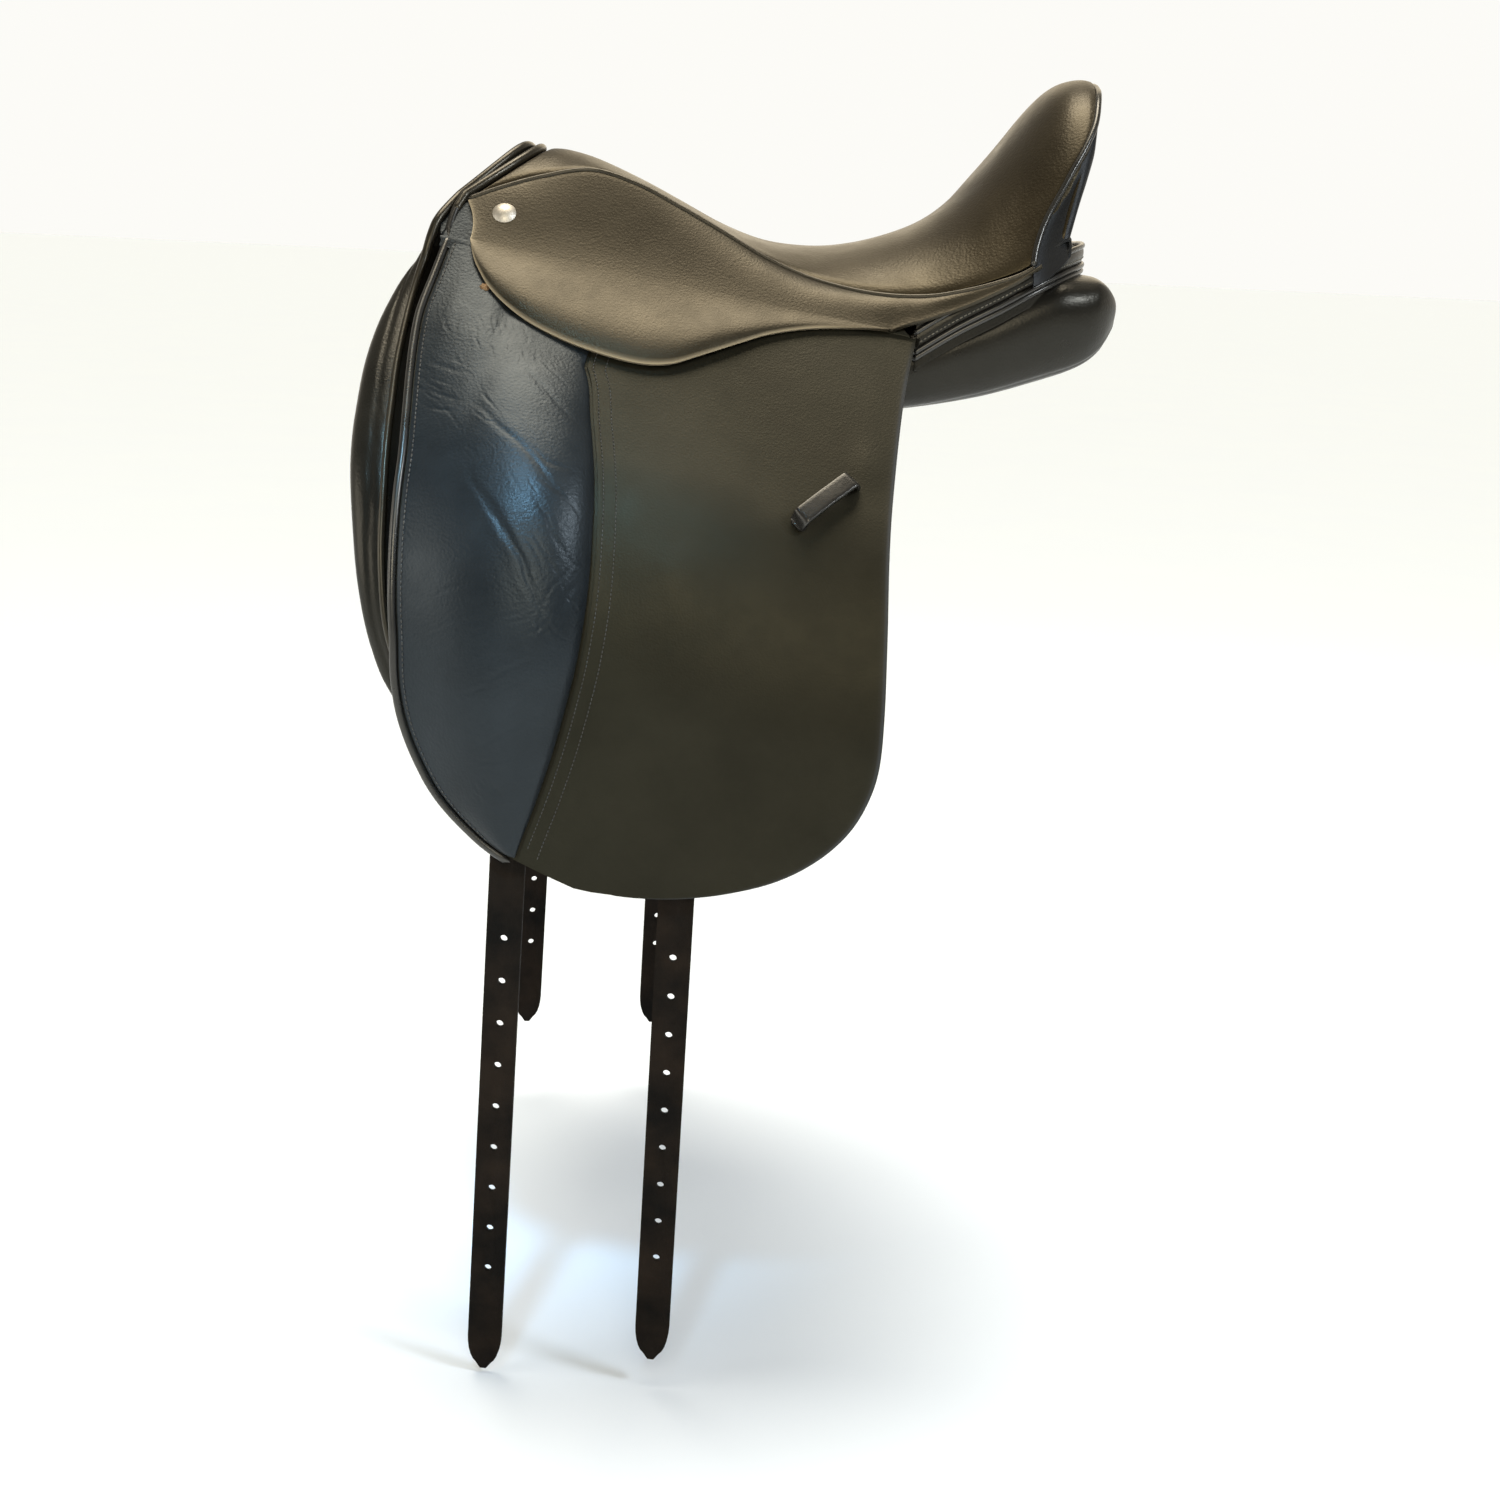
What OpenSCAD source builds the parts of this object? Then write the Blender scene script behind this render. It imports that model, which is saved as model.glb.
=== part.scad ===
// Dressage saddle on a wooden tree, with lifting flaps and skirts, soft knee blocks,
// open stirrup bars with safety catches, wool panels and long girth billets.
// +X runs to the cantle, +Y to the rider's right and +Z up. The origin lies on the mid plane,
// under the deepest part of the seat, at the level of the panels' lowest line.

/* [Seat] */
// Length of the seat, from the skirt stud to the middle of the cantle
seat_length = 445; // [425:5:465]
// Exponent of the seat's crown, higher is flatter in the middle
seat_crown = 2.5; // [2.2:0.1:3]
// Thickness of the seat leather
cover_t = 2; // [1.2:0.1:2.6]
// Thickness of the seat foam
foam_t = 12; // [8:0.5:14]
// Thickness of a seat web
seat_web_t = 1.5; // [1:0.1:2]
// Width of the lengthwise seat web at its middle, as a share of the seat
seat_web_share = 0.28; // [0.2:0.02:0.4]
// Radius of the welt between seat and skirt
welt_r = 2.4; // [1.6:0.1:3]
// Radius of the piping on the cantle rim
rim_r = 3; // [2:0.1:4]
// Radius of the two welts over the pommel
head_r = 3.3; // [2.5:0.1:4]
// Thickness of the channel's lining
lining_t = 1.5; // [1:0.1:2]
// Thickness of the leather on the back of the cantle
back_t = 2.5; // [1.5:0.1:3]

/* [Tree] */
// Thickness of the laminated tree
tree_t = 10; // [8:0.5:12]
// Thickness of the steel gullet plate
gullet_t = 3; // [2:0.5:4]
// Thickness of a tree point
point_t = 7; // [5:0.5:8]
// Width of the leg of a tree point
point_w = 40; // [30:1:44]
// How far a tree point reaches down below the flap's crease
point_reach = 108; // [90:1:112]

/* [Drape of the sides] */
// Lean of the skirt from upright
drape_angle = 42; // [38:1:46]
// Straight run of the flap below its crease
drape_straight = 150; // [140:1:160]
// Radius of the bend from the lean to upright
drape_radius = 240; // [220:5:260]
// Half of the play at a crease
crease_play = 0.15; // [0.1:0.05:0.3]
// Play between two plies of leather
ply_play = 0.5; // [0.4:0.1:1]
// Play between a soft sheet and what it lies on
soft_play = 0.8; // [0.6:0.1:1]

/* [Leather] */
// Thickness of the skirt
skirt_t = 3; // [2:0.5:4]
// Length of the flap below its crease
flap_len = 448; // [420:1:470]
// Thickness of the flap
flap_t = 4; // [3:0.5:5]
// Thickness of the sweat flap
sweat_t = 3; // [2:0.5:4]
// Radius of the piping on the flap's front edge
piping_r = 2.6; // [2:0.1:3]
// Height of the strip of flap that stays on the tree above the crease
flap_root_h = 11; // [8:1:12]

/* [Knee block] */
// Crown of the knee block above the flap
block_h = 27; // [15:1:35]
// Thickness of the knee block's leather
block_cover_t = 1.8; // [1:0.1:2.5]
// Height of the knee block's sewn edge
block_edge_h = 2.4; // [2.2:0.1:3]

/* [Girth billets] */
// Thickness of a girth web
web_t = 2.5; // [1.5:0.5:3]
// Width of a girth web
web_w = 28; // [24:1:30]
// Thickness of a billet
billet_t = 3.8; // [3:0.2:4.4]
// Width of a billet
billet_w = 24; // [20:1:26]
// Length of a front billet below its pivot on the near side
near_front_len = 478; // [400:1:500]
// Length of a rear billet below its pivot on the near side
near_rear_len = 441; // [400:1:480]
// Length of a front billet below its pivot on the off side
off_front_len = 414; // [380:1:500]
// Length of a rear billet below its pivot on the off side
off_rear_len = 400; // [380:1:480]
// Radius of a billet hole
hole_r = 2.6; // [2:0.1:3]
// Distance between the holes of a front billet
front_pitch = 31; // [26:1:34]
// Distance between the holes of a rear billet
rear_pitch = 28; // [24:1:34]
// Distance of the lowest hole from the billet's tip
tip_to_hole = 80; // [60:1:100]
// Number of holes in a billet
hole_count = 9; // [5:1:10]

/* [Stirrup bar] */
// Length of the bar that carries the leather
bar_len = 100; // [90:1:110]
// Height of the bar
bar_w = 12; // [10:0.5:14]
// Thickness of the bar
bar_t = 8; // [7:0.5:9]
// Room for the stirrup leather behind the bar
bar_room = 10; // [9:0.5:11]
// Thickness of the plate that carries the bar
bar_plate_t = 3; // [2:0.5:4]
// Length of the catch behind its pin
catch_len = 26; // [20:1:30]
// Radius of the catch's pin
catch_pin_r = 1.8; // [1.4:0.1:2.2]
// Radial play of the catch on its pin
catch_play = 0.06; // [0.03:0.01:0.09]

/* [Trim] */
// Radius of the stud on the skirt
stud_r = 8.5; // [6:0.5:10]
// Height of the stud's dome
stud_h = 3.2; // [2:0.2:5]
// Length of the keeper on the flap
keeper_len = 52; // [44:1:60]
// Width of the keeper
keeper_w = 13; // [10:0.5:18]
// Room under the keeper
keeper_room = 8; // [7:0.5:10]
// Thickness of the keeper's leather
keeper_t = 3; // [2:0.5:4]
// Thickness of the pommel and rear facings
facing_t = 2.5; // [2:0.1:3]
// Height of the rear facing
facing_h = 17; // [12:1:20]

/* [Panels] */
// Half width of the channel between the panels
channel_half = 36; // [30:1:40]
// Squareness of a panel's section
panel_square = 0.8; // [0.7:0.05:1]
// Depth of the front roll
roll_depth = 30; // [22:1:32]

/* [Hidden] */
$fn = 48;

leather = [0.06, 0.055, 0.05];
dark_leather = [0.035, 0.033, 0.032];
brown_leather = [0.09, 0.06, 0.045];
steel = [0.7, 0.7, 0.7];
webbing = [0.62, 0.57, 0.47];
wood = [0.72, 0.56, 0.38];
foam = [0.86, 0.82, 0.68];

// Lengthwise stretch of everything that follows the seat, and downward stretch of what follows the flap
stretch = seat_length / 445;
longer = flap_len / 448;

// Rows of the seat from pommel to cantle: mid line X and Z, then edge X, Y and Z
seat_rows = [
    [-193, 171, -245, 70, 133],
    [-187, 171.5, -222, 65, 142],
    [-175, 170.5, -193, 59, 151],
    [-155, 165, -159, 57, 157],
    [-125, 152, -127, 64, 149],
    [-95, 137, -97, 72, 135],
    [-64, 122, -66, 80, 119],
    [-34, 113, -36, 89, 103],
    [-4, 110, -6, 97, 91],
    [26, 112, 24, 106, 84],
    [56, 119, 52, 114, 81],
    [85, 131, 80, 121, 82],
    [107, 147, 104, 126, 87],
    [124, 167, 124, 129, 93],
    [142, 189, 142, 130, 100],
    [162, 213, 158, 129, 111],
    [182, 231, 170, 127, 125],
    [203, 237, 178, 125, 141]
];
last_row = len(seat_rows) - 1;

// Lower edge of the skirt's tail, behind the flap
skirt_tail = [[66, 134, 63], [76, 134, 66], [100, 134, 75], [121, 134, 85], [141, 133, 96], [158, 131, 109]];

// Ends of the crease that flap and skirt turn on, right side
crease_front = [-243 * stretch, 94, 106];
crease_rear = [70 * stretch, 136, 55];
e1 = unit(crease_rear - crease_front);
e2 = unit([-e1.y, e1.x, 0]);
e3 = cross(e1, e2);
bend_len = drape_radius * drape_angle * PI / 180;
upright_from = drape_straight + bend_len;

// Plies on the side, counted outwards from the skirt's outer face
skirt_in = -skirt_t;
flap_out = skirt_in - 2 * ply_play;
flap_in = flap_out - flap_t;
web_out = flap_in - ply_play;
billet_out = web_out - web_t - ply_play / 2;
billet_in = billet_out - billet_t;
sweat_out = billet_in - ply_play;
sweat_in = sweat_out - sweat_t;
bar_out = skirt_in - 2;
bar_in = bar_out - bar_t;
plate_out = bar_in - bar_room;
point_out = plate_out - bar_plate_t;
point_in = point_out - point_t;

// Depths below the seat's surface
foam_top = cover_t + 1.1 * soft_play;
cross_top = foam_top + foam_t + soft_play;
long_top = cross_top + seat_web_t + soft_play / 2;
tree_top = long_top + seat_web_t + soft_play;
tree_bottom = tree_top + tree_t;
gullet_top = tree_bottom + soft_play;

// Outlines on the side as pairs of distance below the crease and distance along it
flap_front = lengthened([
    [0, -11], [34, -11.5], [66, -12], [91, -9], [118, -4], [151, 3], [181, 9], [209, 13], [242, 18.5],
    [281, 26], [307, 32], [334, 37.5], [358, 46], [382, 60], [405, 79], [425, 106], [435, 126],
    [442, 150], [448, 176]
]);
flap_rear = lengthened([
    [0, 320], [54, 321], [136, 328], [182, 334], [243, 345], [288, 353], [322, 357],
    [345, 355], [369, 347], [392, 331], [412, 308], [427, 280], [438, 250], [445, 218], [448, 188]
]);
block_front = lengthened([
    [46, 18], [52, 13], [60, 9], [81, 5], [140, 7], [201, 16], [255, 26], [293, 36],
    [337, 45], [373, 62], [406, 89], [428, 117], [438, 131]
]);
block_rear = lengthened([
    [46, 25], [52, 34], [60, 47], [68, 68], [75, 88], [84, 105], [126, 120], [172, 134],
    [214, 143], [254, 149], [293, 151], [321, 150], [356, 147], [392, 142], [420, 137], [438, 134]
]);
block_top = top_of(block_front);
block_reach = reach_of(block_front);
skirt_edge = [
    [2, 0.4], [5, 8], [11, 20], [27, 40], [53, 58], [84, 69], [113, 74], [141, 75], [161, 70],
    [179, 58], [203, 40], [221, 27], [248, 14], [279, 5], [300, 0.4]
];
roll_front = lengthened([
    [4, -38], [31, -45], [62, -48], [98, -47], [135, -42], [184, -33], [237, -19], [279, -7],
    [318, 7], [341, 19], [359, 34]
]);
roll_rear = lengthened([
    [4, -4], [31, 4], [70, 14], [112, 18], [150, 48], [200, 75], [260, 88], [310, 91], [335, 80], [359, 60]
]);
roll_top = top_of(roll_front);
roll_reach = reach_of(roll_front);
sweat_front = lengthened([
    [62, 4], [112, 6], [150, 20], [200, 36], [260, 46], [310, 53], [345, 56],
    [380, 72], [400, 90], [415, 112], [424, 138], [428, 165]
]);
sweat_rear = lengthened([
    [62, 306], [150, 314], [243, 330], [322, 342], [360, 336], [385, 322], [405, 298],
    [418, 262], [425, 225], [428, 190]
]);
sweat_top = top_of(sweat_front);
sweat_reach = reach_of(sweat_front);

// Places on the side
bar_at = [100, 30];
notch = [bar_at.x - bar_len / 2 - 8, bar_at.x + bar_len / 2 + catch_len + 12, bar_at.y + 18];
keeper_at = [285, 154];
keeper_turn = 33;
pivot_t = upright_from + 22;
front_pivot_s = 116;
rear_pivot_s = 231;
front_lean = -7.4;
rear_lean = -8.2;
web_end_t = pivot_t + 18;

// Rows of a panel: X, middle Y and Z, half width, half depth, tilt
panel_rows = [
    [-226, 61, 70, 22, 8, 42],
    [-218, 61, 66, 29, 15, 42],
    [-195, 62, 57, 34, 20, 40],
    [-150, 67, 40, 36, 21, 37],
    [-100, 72, 34, 40, 24, 32],
    [-50, 77, 31, 43, 28, 28],
    [0, 80, 31, 45, 30, 26],
    [60, 81, 35, 45, 31, 24],
    [120, 80, 49, 44, 37, 20],
    [165, 78, 62, 41, 38, 16],
    [196, 76, 70, 36, 33, 12],
    [212, 75, 76, 28, 26, 10],
    [219, 75, 78, 18, 16, 8]
];

// Path of the rear facing, right half, from the flap round the back of the cantle
facing_path = [
    [72, 124, 43], [98, 125, 60], [127, 124, 76], [152, 117, 90], [174, 100, 100],
    [190, 72, 105], [198, 36, 107], [200, 0, 107]
];

function lerp(a, b, x) = a + (b - a) * x;
function unit(v) = v / norm(v);
function flip(list) = [for (i = [len(list) - 1:-1:0]) list[i]];
function span(a, b, n) = [for (i = [0:n]) lerp(a, b, i / n)];
function swell(x, p) = sign(x) * pow(abs(x), p);
function mid_y(p) = [p.x, -p.y, p.z];
function lengthened(keys) = [for (p = keys) [p[0] * longer, p[1]]];
function top_of(keys) = keys[0][0];
function reach_of(keys) = keys[len(keys) - 1][0];

// Smooth curve through keys, with u counted in keys
function key(keys, i) = keys[max(0, min(len(keys) - 1, i))];
function through(keys, u) = let (
    i = max(0, min(len(keys) - 2, floor(u))),
    x = u - i,
    a = key(keys, i - 1),
    b = key(keys, i),
    c = key(keys, i + 1),
    d = key(keys, i + 2)
) b + x * ((c - a) / 2 + x * (a - 2.5 * b + 2 * c - d / 2 + x * (1.5 * (b - c) + (d - a) / 2)));

// Smooth value at x through keys given as pairs of place and value
function slope(keys, i) = let (a = key(keys, i - 1), b = key(keys, i + 1)) (b[1] - a[1]) / (b[0] - a[0]);
function along(keys, x) = let (
    i = max([for (k = [0:len(keys) - 2]) if (k == 0 || x >= keys[k][0]) k]),
    a = keys[i],
    b = keys[i + 1],
    h = b[0] - a[0],
    rise = b[1] - a[1],
    p = (x - a[0]) / h,
    m = slope(keys, i) * h,
    n = slope(keys, i + 1) * h
) a[1] + p * (m + p * (3 * rise - 2 * m - n + p * (m + n - 2 * rise)));

// Surface of the seat, u along the rows and v across from -1 to 1
function seat(u, v) = let (
    k = through(seat_rows, u),
    p = pow(abs(v), seat_crown)
) [stretch * lerp(k[0], k[2], p), k[3] * v, lerp(k[1], k[4], p)];

// Point on the side at s along the crease, t below it and n outwards
function lean(t) = drape_angle * (1 - max(0, min(1, (t - drape_straight) / bend_len)));
function side(s, t, n) = let (
    a = lean(t),
    flat = min(t, drape_straight),
    drop = max(0, t - upright_from),
    y = flat * sin(drape_angle) + drape_radius * (cos(a) - cos(drape_angle)) + n * cos(a),
    z = -flat * cos(drape_angle) - drape_radius * (sin(drape_angle) - sin(a)) - drop + n * sin(a)
) crease_front + s * e1 + y * e2 + z * e3;

// Skirt above the crease, u along the seat's rows and w from the welt down to the crease
crease_down = sin(drape_angle) * e2 - cos(drape_angle) * e3;
band_rows = 14.7;
tail_from = 10.3;
function band_low(u) = u < tail_from
    ? crease_front + (2 + (seat(u, 1).x - seat(0, 1).x) / e1.x * 0.967) * e1 - crease_play * crease_down
    : let (p = through(skirt_tail, (u - tail_from) * 5 / (15 - tail_from))) [p.x * stretch, p.y, p.z];
function band(u, w) = let (
    low = band_low(u),
    edge = seat(u, 1),
    top = edge + unit(low - edge) * (welt_r + 1.2 * soft_play),
    pull = low - crease_down * norm(low - top) * 0.5
) lerp(lerp(top, pull, w), lerp(pull, low, w), w);

// Piping on the cantle rim
function rim_line(v) = seat(last_row, v) + [rim_r + soft_play, 0, -rim_r / 2];

// Back of the cantle, w from the rim down and v across
function back(w, v) = let (
    base = [stretch * (186 - 12 * v * v), 116 * v, 121 + 4 * v * v],
    rim = rim_line(v),
    edge = rim + unit(base - rim) * (rim_r + 1.5 * soft_play),
    hollow = -4 * sin(180 * w) * (1 - v * v)
) lerp(edge, base, w) + [hollow, 0, 0];

// Line over the pommel at a distance ahead of the seat's front edge, with its bulge, v across
function head_line(v, ahead, bulge) = let (
    d = seat(0, v + 0.01) - seat(0, v - 0.01),
    out = bulge * sin(180 * abs(v))
) seat(0, v) + ahead * unit([-d.y, d.x, 0]) - [3 * v * v, 0, 0] + out * [-0.6, 0, 0.8];
front_bulge = 3.5;
rear_welt = head_r + soft_play;
front_welt = rear_welt + 2 * head_r + soft_play;
rear_welt_end = [[-257, 79, 117], [-260, 86, 109]];
front_welt_end = [[-264, 75, 119], [-269, 81, 107]];

// Front of the pommel, w from the front welt down to the arch and v across
function pommel(w, v) = let (
    welt = head_line(v, front_welt, front_bulge),
    arch = [stretch * (-214 - 22 * v * v), 50 * v, 134 - 42 * v * v],
    edge = welt + unit(arch - welt) * (head_r + soft_play)
) lerp(edge, arch, w) + [-7 * sin(180 * w), 0, 0];

// Rear facing on both sides, u along its path and w up its height
function facing(u, w) = let (
    k = len(facing_path) - 1,
    p = through(facing_path, k - abs(k - u)),
    q = u > k ? mid_y(p) : p
) [q.x * stretch, q.y, q.z + facing_h * w];

// Outward normal of a surface, and a point raised above it
function face(f, u, v) = let (e = 0.01) unit(cross(f(u + e, v) - f(u - e, v), f(u, v + e) - f(u, v - e)));
function raised(f, u, v, d) = f(u, v) + d * face(f, u, v);

// Volume inside a list of triangles, below zero where they face inwards
function enclosed(p, tris) = [for (t = tris) p[t[0]] * cross(p[t[1]], p[t[2]])] * [for (t = tris) 1];

// Closed solid through rings of points
module loft(rings, closed = false) {
    n = len(rings[0]);
    m = len(rings);
    points = [for (ring = rings) each ring];
    walls = [
        for (i = [0:m - (closed ? 1 : 2)], j = [0:n - 1])
        let (k = (j + 1) % n, o = i * n, q = ((i + 1) % m) * n, a = o + j, b = o + k, c = q + k, d = q + j)
        each [[a, b, c], [a, c, d]]
    ];
    ends = closed ? [] : [
        for (e = [0, m - 1], j = [0:n / 2 - 2])
        let (o = e * n, a = o + j, b = o + j + 1, c = o + n - 2 - j, d = o + n - 1 - j)
        each (e == 0 ? [[a, d, c], [a, c, b]] : [[a, b, c], [a, c, d]])
    ];
    tris = concat(walls, ends);
    inside_out = enclosed(points, tris) > 0;
    polyhedron(points, inside_out ? [for (t = tris) flip(t)] : tris, convexity = 10);
}

// Sheet between two heights of a surface
module sheet(f, us, vs, top, bottom) {
    loft([
        for (u = us)
        concat([for (v = vs) raised(f, u, v, top)], [for (v = flip(vs)) raised(f, u, v, bottom)])
    ]);
}

// Ply on the side between two edges, with heights that may vary across and down
module ply(ts, front, rear, cols, top, bottom) {
    xs = span(0, 1, cols);
    loft([
        for (t = ts)
        let (a = front(t), b = rear(t))
        concat(
            [for (x = xs) side(lerp(a, b, x), t, top(x, t))],
            [for (x = flip(xs)) side(lerp(a, b, x), t, bottom(x, t))]
        )
    ]);
}

// Cord of round section along a path
module cord(path, r, up, sides = 8) {
    k = len(path) - 1;
    loft([
        for (i = [0:k])
        let (
            d = unit(path[min(i + 1, k)] - path[max(i - 1, 0)]),
            x = unit(cross(d, up)),
            y = cross(x, d)
        )
        [for (j = [0:sides - 1]) path[i] + r * (cos(360 * j / sides) * x + sin(360 * j / sides) * y)]
    ]);
}

// Local frame on the side: x up the surface, y to the rear, z outwards
module on_side(s, t) {
    o = side(s, t, 0);
    a = lean(t);
    up = cos(a) * e3 - sin(a) * e2;
    out = cos(a) * e2 + sin(a) * e3;
    multmatrix([
        [up.x, e1.x, out.x, o.x],
        [up.y, e1.y, out.y, o.y],
        [up.z, e1.z, out.z, o.z]
    ]) children();
}

// Flat plate in the straight part of the side, from an outline of along and below
module flat_ply(outline, bottom, top) {
    on_side(0, 0) translate([0, 0, bottom]) linear_extrude(top - bottom)
        polygon([for (p = outline) [-p[1], p[0]]]);
}

module left() {
    mirror([0, 1, 0]) children();
}

// Rows that close in smoothly on the lower end of a ply
function closing(top, bend, low, n, m) = concat(
    span(top, bend, n),
    [for (i = [1:m]) lerp(bend, low, sin(90 * i / m))]
);

// Tree: one frame of laminated wood, open in the middle
module tree() {
    turns = 44;
    color(wood) loft([
        for (i = [0:turns - 1])
        let (
            c = -swell(cos(360 * i / turns), 0.7),
            d = swell(sin(360 * i / turns), 0.7),
            outer = [7.8 + 7.1 * c, 0.84 * d],
            inner = [8 + 5 * c, 0.5 * d],
            line = [for (x = [0, 0.5, 1]) lerp(outer, inner, x)]
        )
        concat(
            [for (p = line) raised(function(u, v) seat(u, v), p[0], p[1], -tree_top)],
            [for (p = flip(line)) raised(function(u, v) seat(u, v), p[0], p[1], -tree_bottom)]
        )
    ], closed = true);
}

// Steel plate under the head of the tree
module gullet_plate() {
    color(steel) sheet(function(u, v) seat(u, v), span(0.9, 2.5, 5), span(-0.8, 0.8, 14),
        -gullet_top, -gullet_top - gullet_t);
}

// Point: a plate from the head of the tree, with a leg that runs down into its pocket
module right_tree_point() {
    leg_front = 24;
    leg_mid = leg_front + point_w / 2;
    inner = leg_front + point_w;
    corner = 18;
    top = -55;
    rear = bar_at.x + bar_len / 2;
    color(wood) flat_ply(concat(
        [[leg_front, top], [rear - 26, top], [rear, top + 26], [rear, bar_at.y + bar_w]],
        [for (a = [0:15:90]) [inner + corner * (1 - sin(a)), bar_at.y + bar_w + corner * (1 - cos(a))]],
        [for (a = [0:15:180]) [leg_mid + point_w / 2 * cos(a), point_reach - point_w / 2 * (1 - sin(a))]]
    ), point_in, point_out);
}

// Forged stirrup bar: plate, front post, open bar and the lug of its catch
module right_stirrup_bar() {
    lug = bar_w / 2;
    color(steel) on_side(bar_at.x, bar_at.y) difference() {
        union() {
            translate([-bar_w - 2, -bar_len / 2, point_out]) cube([2 * bar_w + 4, bar_len - 6, bar_plate_t]);
            translate([-bar_w / 2, -bar_len / 2, point_out + 0.5])
                cube([bar_w, 14, bar_out - point_out - 0.5]);
            translate([-bar_w / 2, -bar_len / 2, bar_in]) cube([bar_w, bar_len - lug, bar_t]);
            translate([0, bar_len / 2 - lug, bar_in]) cylinder(r = bar_w / 2, h = bar_t);
        }
        translate([0, bar_len / 2 - lug, bar_in + bar_t / 2]) cylinder(r = bar_w / 2 + 0.3, h = bar_t);
        translate([0, bar_len / 2 - lug, bar_in - 1]) cylinder(r = catch_pin_r, h = bar_t);
    }
}

// Safety catch: a thumb piece that turns up behind the bar
module right_bar_catch() {
    eye = bar_w / 2;
    color(steel) on_side(bar_at.x, bar_at.y) translate([0, bar_len / 2 - eye, bar_in + bar_t / 2 + 0.1])
        difference() {
            union() {
                cylinder(r = eye, h = bar_t / 2 - 0.6);
                translate([-eye + 2, 0, 0]) cube([bar_w - 4, catch_len, bar_t / 2 - 0.6]);
                translate([0, catch_len, 0]) cylinder(r = eye - 0.5, h = bar_t / 2 - 0.6);
            }
            translate([0, 0, -1]) cylinder(r = catch_pin_r + catch_play, h = bar_t);
        }
}

// Pin of a catch, with its head outside the catch
module catch_pin() {
    on_side(bar_at.x, bar_at.y) translate([0, bar_len / 2 - bar_w / 2, bar_in]) {
        cylinder(r = catch_pin_r, h = bar_t - 0.3);
        translate([0, 0, bar_t - 0.3]) cylinder(r = catch_pin_r + 1.4, h = 0.8);
    }
}

module catch_pins() {
    color(steel) {
        catch_pin();
        left() catch_pin();
    }
}

// Rivet heads that hold the bar's plate on the point
module rivet_row() {
    on_side(bar_at.x, bar_at.y)
        for (x = [-bar_w + 3, bar_w - 3], y = [-14, 14])
            translate([x, y, plate_out]) cylinder(r = 3.5, h = 0.8);
}

module bar_rivets() {
    color(steel) {
        rivet_row();
        left() rivet_row();
    }
}

// Web along the seat, from the head to the cantle
module seat_web_long() {
    color(webbing) sheet(function(u, v) seat(u, v), span(1.6, 14.2, 26),
        span(-seat_web_share, seat_web_share, 4), -long_top, -long_top - seat_web_t);
}

// Webs across the seat
module seat_web_cross() {
    color(webbing) for (u = [5.6, 8.2])
        sheet(function(u, v) seat(u, v), span(u, u + 1.2, 3), span(-0.74, 0.74, 14),
            -cross_top, -cross_top - seat_web_t);
}

// Lining of the channel under the tree
module gullet_lining() {
    color(dark_leather) sheet(function(u, v) seat(u, v), span(3.2, 13.4, 18), span(-0.54, 0.54, 6),
        -gullet_top, -gullet_top - lining_t);
}

module seat_foam() {
    color(foam) sheet(function(u, v) seat(u, v), span(0.5, 15.6, 20), span(-0.86, 0.86, 8),
        -foam_top, -foam_top - foam_t);
}

// Seat leather, with its edge drawn in to the welt
module seat_cover() {
    us = span(0, last_row, 40);
    xs = [for (i = [-7:7]) sin(90 * i / 7)];
    rim = function(u) 1 - (welt_r + 0.3) / seat(u, 1).y;
    color(leather) loft([
        for (u = us)
        concat(
            [for (x = xs) raised(function(u, v) seat(u, v), u, x * rim(u), 0)],
            [for (x = flip(xs)) raised(function(u, v) seat(u, v), u, x * rim(u), -cover_t)]
        )
    ]);
}

module right_seat_welt() {
    color(dark_leather) cord([for (u = span(0.1, 16.4, 42)) seat(u, 1)], welt_r, [0, 0, 1], 6);
}

module cantle_back() {
    color(leather) sheet(function(w, v) back(w, v), span(0, 1, 7), span(-0.93, 0.93, 16),
        back_t / 2, -back_t / 2);
}

module cantle_welt() {
    color(dark_leather) cord(
        [for (v = span(-0.98, 0.98, 32)) rim_line(v)], rim_r, [1, 0, 0.3], 6);
}

// Two welts over the pommel: the rear one runs on into the flap's piping, the front one into the roll
module pommel_welts() {
    for (k = [[rear_welt, 0, rear_welt_end], [front_welt, front_bulge, front_welt_end]]) {
        arch = [for (v = span(0, 0.98, 9)) head_line(v, k[0], k[1])];
        fall = [for (p = k[2]) [p.x * stretch, p.y, p.z]];
        half = concat(arch, [for (u = span(0.4, 2, 4)) through(concat([arch[9]], fall), u)]);
        back = [for (p = flip(half)) mid_y(p)];
        color(dark_leather) cord(concat(back, [for (i = [1:len(half) - 1]) half[i]]), head_r, [1, 0, 0.3], 6);
    }
}

module pommel_facing() {
    color(leather) sheet(function(w, v) pommel(w, v), span(0, 1, 6), span(-1, 1, 14),
        facing_t / 2, -facing_t / 2);
}

module rear_facing() {
    color(leather) sheet(function(u, w) facing(u, w), span(0, 14, 42), span(0, 1, 2),
        facing_t / 2, -facing_t / 2);
}

module right_skirt_band() {
    color(leather) sheet(function(u, w) band(u, w), span(0, band_rows, 32), span(0, 1, 4), 0, -skirt_t);
}

// Skirt below the crease
module right_skirt() {
    first = skirt_edge[0][0];
    last = skirt_edge[len(skirt_edge) - 1][0];
    color(leather) flat_ply(concat(
        [for (s = span(last, first, 56)) [s, max(crease_play + 0.3, along(skirt_edge, s))]],
        [[first, crease_play], [last, crease_play]]
    ), skirt_in, 0);
}

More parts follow.
